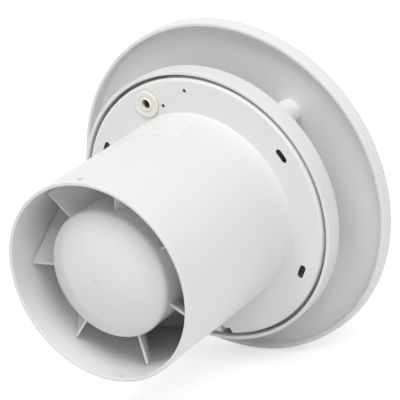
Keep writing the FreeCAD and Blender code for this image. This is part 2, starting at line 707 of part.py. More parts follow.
def make_shaft_and_rotor():
    keep("motor_shaft", turned("motor_shaft", (
        ("0", "shaft_front"),
        ("shaft_radius - shaft_end_bevel", "shaft_front"),
        ("shaft_radius", "shaft_front + shaft_end_bevel"),
        ("shaft_radius", "shaft_rear - shaft_end_bevel"),
        ("shaft_radius - shaft_end_bevel", "shaft_rear"),
        ("0", "shaft_rear"))))
    keep("impeller_clip", turned("impeller_clip", (
        ("shaft_bore", "clip_front"),
        ("clip_radius", "clip_front"),
        ("clip_radius", "hub_front"),
        ("shaft_bore", "hub_front"))))
    keep("rotor_core", turned("rotor_core", (
        ("shaft_bore", "front_washer_end"),
        ("rotor_sleeve_radius", "front_washer_end"),
        ("rotor_sleeve_radius", "core_front"),
        ("end_ring_bore", "core_front"),
        ("end_ring_bore", "core_front - end_ring_length"),
        ("end_ring_radius", "core_front - end_ring_length"),
        ("end_ring_radius", "core_front"),
        ("rotor_radius", "core_front"),
        ("rotor_radius", "core_rear"),
        ("end_ring_radius", "core_rear"),
        ("end_ring_radius", "core_rear + end_ring_length"),
        ("end_ring_bore", "core_rear + end_ring_length"),
        ("end_ring_bore", "core_rear"),
        ("rotor_sleeve_radius", "core_rear"),
        ("rotor_sleeve_radius", "rear_washer_start"),
        ("shaft_bore", "rear_washer_start"))))
    washers = []
    for end in ("front", "rear"):
        washers.append(turned(f"{end}_thrust_washer", (
            ("shaft_bore", f"{end}_washer_start"),
            ("washer_radius", f"{end}_washer_start"),
            ("washer_radius", f"{end}_washer_end"),
            ("shaft_bore", f"{end}_washer_end"))))
    keep("thrust_washers", grouped("thrust_washers", washers))


def make_bearings():
    for end, low, high in (("front", "bracket_front", "front_bearing_end"),
                           ("rear", "rear_bearing_start", "bracket_rear")):
        keep(f"{end}_bearing", turned(f"{end}_bearing", (
            ("bearing_bore", low),
            ("bearing_radius", low),
            ("bearing_radius", high),
            ("bearing_bore", high))))


def make_brackets():
    for end, face, inside, rim, boss in (
            ("front", "bracket_front", "bracket_front + bracket_plate", "core_front", "front_bearing_end"),
            ("rear", "bracket_rear", "bracket_rear - bracket_plate", "core_rear", "rear_bearing_start")):
        body = turned(f"{end}_bracket_body", (
            ("bearing_seat", face),
            ("bracket_radius", face),
            ("bracket_radius", rim),
            ("bracket_rim_bore", rim),
            ("bracket_rim_bore", inside),
            ("bearing_boss_radius", inside),
            ("bearing_boss_radius", boss),
            ("bearing_seat", boss)))
        holes = []
        for index, angle in enumerate(quarter_angles("motor_screw_angle"), 1):
            holes.append(pin(f"{end}_bracket_hole_{index}", "motor_screw_hole", "bracket_plate + 2 * overrun",
                             "0", f"{face} - bracket_plate - overrun", "motor_screw_circle_radius", angle))
        keep(f"{end}_bracket", without(f"{end}_bracket", body, holes))


def make_stator():
    ring = turned("stator_yoke", (
        ("yoke_bore", "core_front"),
        ("core_radius", "core_front"),
        ("core_radius", "core_rear"),
        ("yoke_bore", "core_rear")))
    parts = [ring]
    holes = []
    coils = []
    for index, angle in enumerate(quarter_angles("0"), 1):
        parts.append(brick(f"tooth_{index}", "tooth_width", "core_length", "yoke_bore + yoke_width / 2",
                           "-tooth_width / 2", "core_front", "0", angle))
        shoe = pin(f"shoe_{index}", "shoe_radius", "core_length", "0", "core_front", "0",
                   f"{angle} - 90 - shoe_angle / 2")
        shoe.setExpression("Angle", bound("shoe_angle"))
        parts.append(shoe)
        coil = brick(f"coil_{index}", "tooth_width + 2 * (coil_gap + coil_width)",
                     "core_length + 2 * coil_overhang", "coil_top - coil_bottom",
                     "-tooth_width / 2 - coil_gap - coil_width", "core_front - coil_overhang", "coil_bottom",
                     angle)
        window = brick(f"coil_window_{index}", "tooth_width + 2 * coil_gap", "core_length + 2 * coil_gap",
                       "coil_top + overrun", "-tooth_width / 2 - coil_gap", "core_front - coil_gap", "0",
                       angle)
        coils.append(without(f"coil_{index}_wound", coil, [window]))
    for index, angle in enumerate(quarter_angles("motor_screw_angle"), 1):
        holes.append(pin(f"core_hole_{index}", "motor_screw_hole", "core_length + 2 * overrun", "0",
                         "core_front - overrun", "motor_screw_circle_radius", angle))
    holes.append(pin("rotor_window_cut", "rotor_window", "core_length + 2 * overrun",
                     "0", "core_front - overrun", "0"))
    keep("stator_core", without("stator_core", fused("stator_core_whole", parts), holes))
    keep("stator_coils", grouped("stator_coils", coils))


def make_motor_screws():
    screws = []
    for index, angle in enumerate(quarter_angles("motor_screw_angle"), 1):
        head = pin(f"motor_screw_head_{index}", "motor_screw_head_radius", "motor_screw_head_length", "0",
                   "bracket_front - motor_screw_head_length", "motor_screw_circle_radius", angle)
        shank = pin(f"motor_screw_shank_{index}", "motor_screw_radius", "motor_screw_tip - bracket_front",
                    "0", "bracket_front", "motor_screw_circle_radius", angle)
        screws.append(fused(f"motor_screw_{index}", [head, shank]))
    keep("motor_screws", grouped("motor_screws", screws))


def make_cable_grommet():
    grommet = turned("cable_grommet", (
        ("grommet_bore_radius", "-grommet_inner_end"),
        ("grommet_inner_radius", "-grommet_inner_end"),
        ("grommet_inner_radius", "-plate_thickness"),
        ("grommet_neck_radius", "-plate_thickness"),
        ("grommet_neck_radius", "-grommet_recess"),
        ("grommet_flange_radius", "-grommet_recess"),
        ("grommet_flange_radius", "grommet_flange_face"),
        ("grommet_groove_radius", "grommet_flange_face"),
        ("grommet_groove_radius", "grommet_groove_floor"),
        ("grommet_collar_radius", "grommet_groove_floor"),
        ("grommet_collar_radius", "grommet_face"),
        ("grommet_bore_radius", "grommet_face")))
    keep("cable_grommet", placed(grommet, "grommet_across", "0", "grommet_up", stand=UPRIGHT))


def make_cable_clamp():
    bar = brick("clamp_bar", "clamp_length", "clamp_height", "clamp_width",
                "-clamp_length / 2", "-clamp_top", "-clamp_width / 2")
    tools = [pin("clamp_arch", "clamp_arch_radius", "clamp_width + 2 * overrun", "0", "-plate_thickness",
                 "-clamp_width / 2 - overrun", stand=UPRIGHT)]
    for end, side in (("a", 1), ("b", -1)):
        tools.append(pin(f"clamp_passage_{end}", "clamp_screw_passage", "clamp_height + 2 * overrun",
                         f"{side} * clamp_span / 2", "-clamp_top - overrun", "0"))
    clamp = without("cable_clamp", bar, tools)
    clamp.setExpression("Placement", bound(
        "placement(vector(clamp_across; 0; clamp_up); rotation(vector(0; 1; 0); clamp_slope))"))
    keep("cable_clamp", clamp)
    screws = []
    for end in ("a", "b"):
        head = pin(f"clamp_screw_head_{end}", "clamp_screw_head_radius", "clamp_screw_head_length",
                   f"clamp_{end}_across", "-clamp_top - clamp_screw_head_length", f"clamp_{end}_up")
        shank = pin(f"clamp_screw_shank_{end}", "clamp_screw_radius", "clamp_top - clamp_screw_tip_gap",
                    f"clamp_{end}_across", "-clamp_top", f"clamp_{end}_up")
        screws.append(fused(f"clamp_screw_{end}", [head, shank]))
    keep("clamp_screws", grouped("clamp_screws", screws))


def make_terminal_block():
    block = brick("block_blank", "block_length", "block_height", "block_width", "-block_length / 2",
                  "-block_top", "channel_radius - block_width / 2", "block_angle")
    tools = []
    clamps = []
    screws = []
    for side in (-1, 1):
        end = "left" if side < 0 else "right"
        across = f"{side} * terminal_pitch / 2"
        tools.append(pin(f"terminal_tunnel_{end}", "terminal_seat", "block_width + 2 * overrun", across,
                         "-block_middle", "channel_radius - block_width / 2 - overrun", "block_angle",
                         UPRIGHT))
        tools.append(pin(f"terminal_well_{end}", "terminal_screw_well", "block_height / 2 + overrun", across,
                         "-block_top - overrun", "channel_radius", "block_angle"))
        sleeve = pin(f"terminal_sleeve_{end}", "terminal_sleeve", "terminal_length", across, "-block_middle",
                     "channel_radius - terminal_length / 2", "block_angle", UPRIGHT)
        wire_way = pin(f"terminal_wire_way_{end}", "terminal_tunnel_radius", "terminal_length + 2 * overrun",
                       across, "-block_middle", "channel_radius - terminal_length / 2 - overrun",
                       "block_angle", UPRIGHT)
        screw_way = pin(f"terminal_screw_way_{end}", "terminal_screw_hole", "block_height / 2 + overrun",
                        across, "-block_top - overrun", "channel_radius", "block_angle")
        clamps.append(without(f"terminal_clamp_{end}", sleeve, [wire_way, screw_way]))
        head = pin(f"terminal_screw_head_{end}", "terminal_screw_head_radius",
                   "terminal_screw_face - block_middle - terminal_seat", across, "-terminal_screw_face",
                   "channel_radius", "block_angle")
        shank = pin(f"terminal_screw_shank_{end}", "terminal_screw_radius",
                    "terminal_screw_face - block_middle", across, "-terminal_screw_face", "channel_radius",
                    "block_angle")
        screws.append(fused(f"terminal_screw_{end}", [head, shank]))
    keep("terminal_block", without("terminal_block", block, tools))
    keep("terminal_clamps", grouped("terminal_clamps", clamps))
    keep("terminal_screws", grouped("terminal_screws", screws))


def make_casing_screw():
    head = pin("casing_screw_head", "casing_screw_head_radius", "casing_screw_head_length", "0",
               "-casing_screw_depth", "-casing_radius - casing_screw_head_length", "casing_screw_turn",
               UPRIGHT)
    shank = pin("casing_screw_shank", "casing_screw_radius", "casing_screw_length", "0",
                "-casing_screw_depth", "-casing_radius", "casing_screw_turn", UPRIGHT)
    keep("casing_screw", fused("casing_screw", [head, shank]))


def check_and_write():
    """Stops if any object failed or any sub-part is not a valid solid, then writes the STEP files."""
    doc.recompute()
    for item in doc.Objects:
        if "Invalid" in item.State or "Error" in item.State:
            raise RuntimeError(f"{item.Label} failed: {item.State}")
    for label, item in nodes.items():
        if item.Shape.isNull() or not item.Shape.isValid() or not item.Shape.Solids:
            raise RuntimeError(f"{label} is not a valid solid")
    os.makedirs("parts", exist_ok=True)
    for label, item in nodes.items():
        item.Shape.exportStep(f"parts/{label}.step")
        print(f"{label}: {len(item.Shape.Solids)} solids, {item.Shape.Volume:.0f} mm3")


fill_sheet()
make_spigot_plate()
make_front_casing()
make_front_panel()
make_standoff_posts()
make_motor_cup()
make_impeller()
make_shaft_and_rotor()
make_bearings()
make_brackets()
make_stator()
make_motor_screws()
make_cable_grommet()
make_cable_clamp()
make_terminal_block()
make_casing_screw()
check_and_write()
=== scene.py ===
import json
import math

import bpy
from mathutils import Matrix, Vector


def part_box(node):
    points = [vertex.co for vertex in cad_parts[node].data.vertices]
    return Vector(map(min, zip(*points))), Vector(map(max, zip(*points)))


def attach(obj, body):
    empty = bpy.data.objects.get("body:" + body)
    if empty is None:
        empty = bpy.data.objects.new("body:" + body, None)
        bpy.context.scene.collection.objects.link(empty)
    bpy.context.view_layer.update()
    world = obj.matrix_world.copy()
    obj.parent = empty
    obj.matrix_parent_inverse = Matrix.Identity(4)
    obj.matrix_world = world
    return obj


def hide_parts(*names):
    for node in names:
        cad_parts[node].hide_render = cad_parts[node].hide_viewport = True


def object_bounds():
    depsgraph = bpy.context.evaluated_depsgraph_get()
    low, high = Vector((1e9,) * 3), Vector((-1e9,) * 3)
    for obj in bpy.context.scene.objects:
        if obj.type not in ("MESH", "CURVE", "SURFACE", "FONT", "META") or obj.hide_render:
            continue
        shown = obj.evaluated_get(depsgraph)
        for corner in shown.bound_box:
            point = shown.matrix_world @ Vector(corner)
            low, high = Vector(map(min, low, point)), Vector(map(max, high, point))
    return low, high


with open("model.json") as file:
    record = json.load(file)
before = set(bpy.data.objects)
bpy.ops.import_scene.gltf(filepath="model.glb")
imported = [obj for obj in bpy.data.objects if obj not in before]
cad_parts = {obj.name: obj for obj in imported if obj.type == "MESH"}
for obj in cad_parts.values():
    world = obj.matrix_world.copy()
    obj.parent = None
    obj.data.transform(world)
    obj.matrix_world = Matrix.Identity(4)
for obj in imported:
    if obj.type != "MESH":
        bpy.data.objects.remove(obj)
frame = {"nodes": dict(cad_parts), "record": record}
cad_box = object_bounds()

# Sizes in metres. The fan's axis is Y, the spigot points to +Y and the panel faces -Y
MM = 0.001
SEED_SIZE = 1.0 * MM
MERGE_GAP = 0.001 * MM
PLACE_GAP = 0.01 * MM
OVERRUN = 5.0 * MM
UNIT_HALF = 0.5

# Steps of round shapes
TURN_STEPS = 144
MEDIUM_TURN_STEPS = 96
SMALL_TURN_STEPS = 48
ROUND_STEPS = 5
LARGE_ROUND_STEPS = 10

# Shading: faces that meet below this angle look smooth, and large faces keep their own direction
SMOOTH_ANGLE = math.radians(32)
FLAT_WEIGHT = 100

# Directions in a section of (radius, height) corners, in degrees
OUTWARDS = 0
REARWARDS = 90
INWARDS = 180
FORWARDS = 270
FULL_TURN = 360
QUARTER_TURN = 90

# Sides of a sheet that its thickness goes to
OUTER_SIDE = 1
BOTH_SIDES = 0

# Back plate with its spigot and skirt
MOUNT_SIZES = {mount["name"]: mount["dims"] for mount in frame["record"]["mounts"]}
PLATE_LOW, PLATE_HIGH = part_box("spigot_plate")
SPIGOT_RADIUS = MOUNT_SIZES["duct_spigot"]["r_mm"] * MM
SPIGOT_WALL = 1.8 * MM
SPIGOT_BORE = SPIGOT_RADIUS - SPIGOT_WALL
SPIGOT_END = PLATE_HIGH.y
SPIGOT_ROUND = 0.5 * MM
PLATE_RADIUS = PLATE_HIGH.x
PLATE_THICKNESS = 2.2 * MM
PLATE_FRONT = -PLATE_THICKNESS
PLATE_ROUND = 1.6 * MM
SKIRT_WALL = 2.0 * MM
SKIRT_BORE = PLATE_RADIUS - SKIRT_WALL
SKIRT_END = PLATE_LOW.y

# Mounting slots, holes and the notch in the plate. Clock angles are degrees from +Z towards +X.
# A pivot hole has its clock and setback, a clamp hole its radius and clock, the peg hole its X and Z
SLOT_CIRCLE = 58.9 * MM
SLOT_WIDTH = 3.2 * MM
SLOT_LENGTH = 7.4 * MM
SLOT_CLOCKS = (58.3, 118.3, 238.3, -61.7)
SLOT_LIP = 0.6 * MM
SLOT_RELIEF = 1.2 * MM
PIVOT_HOLE_RADIUS = 1.2 * MM
PIVOT_HOLE_PLACES = ((-2.1, 3.9 * MM), (180, 2.5 * MM))
CLAMP_HOLE_RADIUS = 1.02 * MM
CLAMP_HOLE_PLACES = ((53.97 * MM, 10.47), (60.73 * MM, -4.13))
NOTCH_WIDTH = 6.2 * MM
NOTCH_DEPTH = 3.2 * MM
NOTCH_ACROSS = 1.2 * MM
NOTCH_ROUND = 1.4 * MM
PEG_HOLE_RADIUS = 0.9 * MM
PEG_HOLE_PLACE = (3.05 * MM, -63.2 * MM)

# Grommet
GROMMET_LOW, GROMMET_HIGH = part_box("cable_grommet")
GROMMET_ACROSS = (GROMMET_LOW.x + GROMMET_HIGH.x) / 2
GROMMET_UP = (GROMMET_LOW.z + GROMMET_HIGH.z) / 2
GROMMET_FLANGE = (GROMMET_HIGH.x - GROMMET_LOW.x) / 2
GROMMET_RECESS = 0.9 * MM
GROMMET_RECESS_GAP = 0.3 * MM
GROMMET_NECK = 4.8 * MM
GROMMET_NECK_GAP = 0.05 * MM
GROMMET_FACE = 0.9 * MM
GROMMET_GROOVE = 4.3 * MM
GROMMET_GROOVE_FLOOR = 0.6 * MM
GROMMET_COLLAR = 3.4 * MM
GROMMET_BORE = 2.4 * MM
GROMMET_BORE_LENGTH = 2.0 * MM
GROMMET_INNER = 5.6 * MM
GROMMET_CAVITY = 3.6 * MM
GROMMET_CAVITY_END = GROMMET_HIGH.y - GROMMET_BORE_LENGTH
GROMMET_ROUND = 0.35 * MM
GROMMET_FLANGE_ROUND = 0.6 * MM

# Casing ring
CASING_LOW, CASING_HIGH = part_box("front_casing")
CASING_RADIUS = CASING_HIGH.x
CASING_RING_WALL = 1.7 * MM
CASING_BORE = CASING_RADIUS - CASING_RING_WALL
CASING_BACK = CASING_HIGH.y
CASING_FRONT = CASING_LOW.y
CASING_WALL = 2.0 * MM
CASING_ROUND = 1.5 * MM
CASING_LIP_ROUND = 0.4 * MM
THROAT_STEP = 0.6 * MM
THROAT_RADIUS = SPIGOT_BORE - THROAT_STEP
COLLAR_GAP = 0.5 * MM
COLLAR_END = PLATE_FRONT - COLLAR_GAP
BELL_ROUND = 5.0 * MM
SOCKET_BORE = 3.3 * MM
SOCKET_RADIUS = 5.3 * MM
SOCKET_GAP = 0.8 * MM
SOCKET_END = PLATE_FRONT - SOCKET_GAP

# Casing screw and its boss
SCREW_CLOCK = 155
SCREW_HEIGHT = -5.6 * MM
SCREW_RADIUS = 1.45 * MM
SCREW_HOLE = 1.47 * MM
SCREW_PASSAGE = 1.65 * MM
SCREW_LENGTH = 7.0 * MM
SCREW_SHANK_SINK = 0.5 * MM
SCREW_HEAD_RADIUS = 2.7 * MM
SCREW_HEAD_LENGTH = 1.5 * MM
SCREW_HEAD_ROUND = 0.7 * MM
SCREW_CROSS_DEPTH = 0.9 * MM
SCREW_CROSS_LENGTH = 3.0 * MM
SCREW_CROSS_WIDTH = 0.7 * MM
SCREW_BOSS_RADIUS = 3.0 * MM
SCREW_BOSS_LENGTH = 3.0 * MM
SCREW_BOSS_SINK = 1.0 * MM

# Panel
PANEL_LOW, PANEL_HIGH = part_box("front_panel")
PANEL_RADIUS = 87.44 * MM
PANEL_FRONT = PANEL_LOW.y
PANEL_CROWN = 1.2 * MM
PANEL_ROUND = 3.0 * MM
PANEL_WALL = 2.6 * MM
PANEL_INSIDE = PANEL_FRONT + PANEL_CROWN + PANEL_WALL
CROWN_STEPS = 8
LIP_END = PANEL_HIGH.y
LIP_LEAN = 1.06 * MM
LIP_RADIUS = PANEL_RADIUS - LIP_LEAN
LIP_WALL = 1.9 * MM
LIP_BORE = LIP_RADIUS - LIP_WALL
LIP_ROUND = 0.5 * MM
RIM_TAPER = 0.9 * MM
RIM_ROOT_BORE = LIP_BORE - RIM_TAPER
RIM_ROOT_ROUND = 0.8 * MM

# Posts
POST_CIRCLE = (THROAT_RADIUS + CASING_WALL + SKIRT_BORE) / 2
POST_CLOCKS = (46, 134, 226, 314)
POST_RADIUS = 6.0 * MM
POST_GAP = 0.3 * MM
POST_SHOULDER = CASING_FRONT - POST_GAP
POST_PIN = 3.0 * MM
POST_PIN_LENGTH = 6.5 * MM
POST_TIP = POST_SHOULDER + POST_PIN_LENGTH
POST_ROUND = 0.8 * MM
POST_TIP_ROUND = 0.5 * MM

# Motor cup
CUP_LOW, CUP_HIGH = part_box("motor_cup")
CUP_RADIUS = 31.7 * MM
CUP_WALL = 2.0 * MM
CUP_BORE = CUP_RADIUS - CUP_WALL
CUP_MOUTH = CUP_LOW.y
CUP_NOSE = CUP_HIGH.y
NOSE_HEIGHT = 11.4 * MM
CUP_SHOULDER = CUP_NOSE - NOSE_HEIGHT
CUP_ROUND = 3.0 * MM
DOME_STEPS = 20
CUP_BOSS_RADIUS = 3.6 * MM
CUP_BOSS_INSET = 3.25 * MM
CUP_BOSS_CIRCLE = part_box("stator_core")[1].x - CUP_BOSS_INSET
CUP_BOSS_CLOCKS = (45, 135, 225, 315)
CUP_BOSS_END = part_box("rear_bracket")[1].y
BOSS_HOLE_RADIUS = 1.52 * MM
BOSS_HOLE_DEPTH = 3.6 * MM
GATE_RADIUS = 1.7 * MM
GATE_DEPTH = 0.3 * MM
GATE_STUB_RADIUS = 0.8 * MM
GATE_STUB_DROP = 0.05 * MM

# Guide vanes. The twist is in degrees per metre of depth, and the camber adds to it along the bend
VANE_COUNT = 7
VANE_THICKNESS = 1.2 * MM
VANE_SETBACK = 1.6 * MM
VANE_REAR = CUP_SHOULDER - VANE_SETBACK
VANE_LENGTH = 33.0 * MM
VANE_CLOCK = 35.3
VANE_SWEEP = 1.3 * MM
VANE_TWIST = 0.54 / MM
VANE_CAMBER = 0.022 / MM ** 2
VANE_BEND = 22.0 * MM
VANE_TIP_GAP = 0.2 * MM
VANE_TIP = SPIGOT_BORE - VANE_TIP_GAP
VANE_TIP_RELIEF = 0.9 * MM
VANE_RELIEF_LENGTH = 16.0 * MM
VANE_ROOT_SINK = 1.0 * MM
VANE_ROOT = CUP_RADIUS - VANE_ROOT_SINK
VANE_CUTS = 6
VANE_STEPS = 36

# Impeller
IMPELLER_LOW, IMPELLER_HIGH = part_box("impeller")
HUB_STEP = 0.6 * MM
HUB_RADIUS = CUP_RADIUS - HUB_STEP
HUB_WALL = 2.2 * MM
HUB_BORE = HUB_RADIUS - HUB_WALL
HUB_FRONT = IMPELLER_LOW.y
HUB_REAR = IMPELLER_HIGH.y
HUB_ROUND = 6.0 * MM
HUB_BOSS_RADIUS = 6.0 * MM
HUB_BOSS_LENGTH = 16.0 * MM
HUB_BOSS_BORE = 2.02 * MM
BLADE_COUNT = 8
BLADE_PITCH = -160 * MM
BLADE_THICKNESS = 2.2 * MM
BLADE_SETBACK = 2.0 * MM
BLADE_REAR = HUB_REAR - BLADE_SETBACK
BLADE_LENGTH = 23.0 * MM
BLADE_FRONT = BLADE_REAR - BLADE_LENGTH
BLADE_TIP_GAP = 1.3 * MM
BLADE_TIP = SPIGOT_BORE - BLADE_TIP_GAP
BLADE_ROOT_SINK = 1.2 * MM
BLADE_ROOT = HUB_RADIUS - BLADE_ROOT_SINK
BLADE_RUN_IN = 2 * BLADE_THICKNESS
BLADE_RUN_OUT = BLADE_THICKNESS
BLADE_CUTS = 5
BLADE_STEPS = 40

# Blank label on the spigot
LABEL_WIDTH = 40.0 * MM
LABEL_LENGTH = 22.8 * MM
LABEL_CLOCK = 5.9
LABEL_MIDDLE = 19.3 * MM
LABEL_ASKEW = 8.8
LABEL_LIFT = 0.02 * MM
LABEL_THICKNESS = 0.1 * MM
LABEL_STEPS = 24

# Colours, each with the tint that it drifts to
WHITE = ((0.80, 0.80, 0.79, 1), (0.77, 0.77, 0.765, 1))
CUP_WHITE = ((0.77, 0.765, 0.78, 1), (0.745, 0.74, 0.76, 1))
BLADE_WHITE = ((0.70, 0.70, 0.70, 1), (0.66, 0.66, 0.665, 1))
LABEL_WHITE = ((0.82, 0.82, 0.82, 1), (0.80, 0.80, 0.80, 1))
CREAM = ((0.84, 0.82, 0.765, 1), (0.81, 0.785, 0.72, 1))
NYLON = ((0.72, 0.72, 0.68, 1), (0.67, 0.66, 0.60, 1))
BLACK = ((0.02, 0.02, 0.02, 1), (0.035, 0.035, 0.036, 1))
STEEL = ((0.56, 0.57, 0.58, 1), (0.48, 0.49, 0.51, 1))
ZINC = ((0.50, 0.51, 0.53, 1), (0.42, 0.43, 0.45, 1))
BRONZE = ((0.42, 0.27, 0.13, 1), (0.34, 0.21, 0.10, 1))
BRASS = ((0.62, 0.43, 0.16, 1), (0.54, 0.36, 0.12, 1))
SHEET_STEEL = ((0.22, 0.23, 0.25, 1), (0.16, 0.16, 0.18, 1))
COPPER = ((0.56, 0.22, 0.09, 1), (0.46, 0.16, 0.06, 1))

# Gloss, as the least and the most roughness
GLOSSY = (0.06, 0.10)
SATIN = (0.30, 0.40)
PANEL_SATIN = (0.34, 0.44)
SOFT_SATIN = (0.35, 0.45)
NYLON_SHEEN = (0.30, 0.45)
POLISHED = (0.25, 0.35)
BRIGHT = (0.25, 0.40)
BLACKENED = (0.40, 0.50)
CAST = (0.40, 0.55)
MATT = (0.45, 0.60)

# Grain of the finishes: scales per metre, and the strength and depth of the relief
SKIN_DRIFT = 30
SKIN_GRAIN = 2500
SKIN_BUMP = 0.02
METAL_DRIFT = 120
METAL_GRAIN = 1500
METAL_BUMP = 0.1
CUP_BUMP = 0.005
RUBBER_DRIFT = 200
RUBBER_GRAIN = 4000
RUBBER_BUMP = 0.1
PAPER_DRIFT = 150
PAPER_GRAIN = 6000
BLACK_BUMP = 0.1
CAST_BUMP = 0.3
BRONZE_GRAIN = 5000
DRIFT_DETAIL = 4
DRIFT_ROUGHNESS = 0.55
GRAIN_DETAIL = 2
GRAIN_DEPTH = 0.05 * MM
WAVE_TURNS = 20
SHEET_PITCH = 0.5 * MM
SHEET_DEPTH = 0.06 * MM
WIRE_PITCH = 0.4 * MM
WIRE_DEPTH = 0.1 * MM

# Studio: each lamp has its name, place and power in watts
FLOOR_SIZE = 8
FLOOR_COLOUR = (0.8, 0.8, 0.8, 1)
FLOOR_LIFT = 0.5
WORLD_LIGHT = 0.42
PURE_WHITE = (1, 1, 1, 1)
LAMP_SIZE = 0.8
STUDIO_LAMPS = (
    ("top_lamp", (0.0, 0.547, 1.504), 10.8),
    ("key_lamp", (-1.061, 0.613, 1.028), 9.0),
    ("left_lamp", (1.576, 0.0, 0.278), 6.6),
)

# Camera, with its turn in degrees and its sensor and lens in millimetres
CAMERA_PLACE = (-577.477 * MM, 753.356 * MM, 326.134 * MM)
CAMERA_TURN = (70.8298, 11.5907, -146.5568)
CAMERA_SENSOR = 36
CAMERA_LENS = 186.596
CAMERA_SHIFT = (-0.003925, 0.004425)
CAMERA_NEAR = 10.0 * MM


def clock_point(radius, clock, height=0.0):
    """The point at a clock angle, measured from +Z towards +X."""
    turn = math.radians(clock)
    return Vector((radius * math.sin(turn), height, radius * math.cos(turn)))


def arc(centre, radius, first, last, steps):
    """Points of (radius, height) along an arc, with angles in degrees."""
    points = []
    for step in range(steps + 1):
        turn = math.radians(first + (last - first) * step / steps)
        points.append((centre[0] + radius * math.cos(turn), centre[1] + radius * math.sin(turn)))
    return points


# Modelling by hand


def pick_only(piece):
    """Makes one object the only one that is selected."""
    bpy.ops.object.select_all(action="DESELECT")
    piece.select_set(True)
    bpy.context.view_layer.objects.active = piece


def name_new(name):
    """Names the object that was just added."""
    piece = bpy.context.object
    piece.name = name
    return piece


def face_outwards(piece):
    """Turns the faces of a piece outwards."""
    pick_only(piece)
    bpy.ops.object.mode_set(mode="EDIT")
    bpy.ops.mesh.select_all(action="SELECT")
    bpy.ops.mesh.normals_make_consistent(inside=False)
    bpy.ops.object.mode_set(mode="OBJECT")


def lathe(name, section, steps=TURN_STEPS):
    """Draws a closed section of (radius, height) corners and spins it about the fan's axis."""
    bpy.ops.object.select_all(action="DESELECT")
    bpy.ops.mesh.primitive_plane_add(size=SEED_SIZE)
    piece = name_new(name)
    bpy.ops.object.mode_set(mode="EDIT")
    bpy.ops.mesh.select_mode(type="VERT")
    bpy.ops.mesh.select_all(action="SELECT")
    bpy.ops.mesh.merge(type="CENTER")
    bpy.ops.transform.translate(value=(section[0][0], section[0][1], 0))
    for before, after in zip(section, section[1:]):
        step = (after[0] - before[0], after[1] - before[1], 0)
        bpy.ops.mesh.extrude_vertices_move(TRANSFORM_OT_translate={"value": step})
    bpy.ops.mesh.select_all(action="DESELECT")
    bpy.ops.object.mode_set(mode="OBJECT")
    for index in (0, len(section) - 1):
        piece.data.vertices[index].select = True
    bpy.ops.object.mode_set(mode="EDIT")
    bpy.ops.mesh.edge_face_add()
    bpy.ops.mesh.select_all(action="SELECT")
    bpy.ops.mesh.spin(steps=steps, angle=math.tau, center=(0, 0, 0), axis=(0, 1, 0))
    bpy.ops.mesh.select_all(action="SELECT")
    bpy.ops.mesh.remove_doubles(threshold=MERGE_GAP)
    bpy.ops.mesh.dissolve_degenerate(threshold=MERGE_GAP)
    bpy.ops.mesh.delete_loose()
    bpy.ops.object.mode_set(mode="OBJECT")
    face_outwards(piece)
    return piece


def round_edges(piece, size, is_chosen, steps=ROUND_STEPS):
    """Bevels the edges that are chosen by the places of their two ends."""
    pick_only(piece)
    bpy.ops.object.mode_set(mode="EDIT")
    bpy.ops.mesh.select_mode(type="EDGE")
    bpy.ops.mesh.select_all(action="DESELECT")
    bpy.ops.object.mode_set(mode="OBJECT")
    corners = piece.data.vertices
    for edge in piece.data.edges:
        first, last = edge.vertices
        edge.select = is_chosen(corners[first].co, corners[last].co)
    bpy.ops.object.mode_set(mode="EDIT")
    bpy.ops.mesh.bevel(offset=size, segments=steps, affect="EDGES", clamp_overlap=False)
    bpy.ops.object.mode_set(mode="OBJECT")


def round_loops(piece, size, loops, steps=ROUND_STEPS):
    """Bevels the edge loops about the axis that lie at the given (radius, height) places."""
    def lies_at(spot, loop):
        return math.dist((math.hypot(spot.x, spot.z), spot.y), loop) < PLACE_GAP

    def is_chosen(first, last):
        return any(lies_at(first, loop) and lies_at(last, loop) for loop in loops)

    round_edges(piece, size, is_chosen, steps)


def move_piece(piece, place=(0, 0, 0), clock=0.0, lean=0.0):
    """Leans a piece about X, places it and turns it by a clock angle about the axis, all in its mesh."""
    turn = Matrix.Rotation(math.radians(clock), 4, "Y")
    tilt = Matrix.Rotation(math.radians(lean), 4, "X")
    piece.matrix_world = turn @ Matrix.Translation(place) @ tilt
    pick_only(piece)
    bpy.ops.object.transform_apply(location=True, rotation=True, scale=True)


def rod(name, radius, low, high, across, up):
    """A round bar along Y."""
    bpy.ops.object.select_all(action="DESELECT")
    bpy.ops.mesh.primitive_cylinder_add(vertices=SMALL_TURN_STEPS, radius=radius, depth=high - low,
                                        location=(across, (low + high) / 2, up),
                                        rotation=(math.pi / 2, 0, 0))
    bar = name_new(name)
    bpy.ops.object.transform_apply(location=True, rotation=True, scale=True)
    return bar


def radial_rod(name, radius, inner, outer, clock, height):
    """A round bar that points away from the axis at a clock angle."""
    bpy.ops.object.select_all(action="DESELECT")
    bpy.ops.mesh.primitive_cylinder_add(vertices=SMALL_TURN_STEPS, radius=radius, depth=outer - inner,
                                        location=(0, height, (inner + outer) / 2))
    bar = name_new(name)
    bpy.ops.object.transform_apply(location=True, rotation=True, scale=True)
    move_piece(bar, clock=clock)
    return bar


def block(name, low, high):
    """A box between two corners."""
    bpy.ops.object.select_all(action="DESELECT")
    middle = [(a + b) / 2 for a, b in zip(low, high)]
    bpy.ops.mesh.primitive_cube_add(size=1, location=middle)
    solid = name_new(name)
    solid.scale = [b - a for a, b in zip(low, high)]
    bpy.ops.object.transform_apply(location=True, rotation=True, scale=True)
    return solid


def combine(piece, others, operation):
    """Applies other solids to a piece, one after another, and removes them."""
    for other in others:
        pick_only(piece)
        change = piece.modifiers.new("change", "BOOLEAN")
        change.operation = operation
        change.solver = "EXACT"
        change.object = other
        bpy.ops.object.modifier_apply(modifier=change.name)
        bpy.data.objects.remove(other)


def cut_away(piece, cutters):
    """Takes the cutters' shapes out of a piece."""
    combine(piece, cutters, "DIFFERENCE")


def join_to(piece, others):
    """Unites other solids with a piece."""
    combine(piece, others, "UNION")


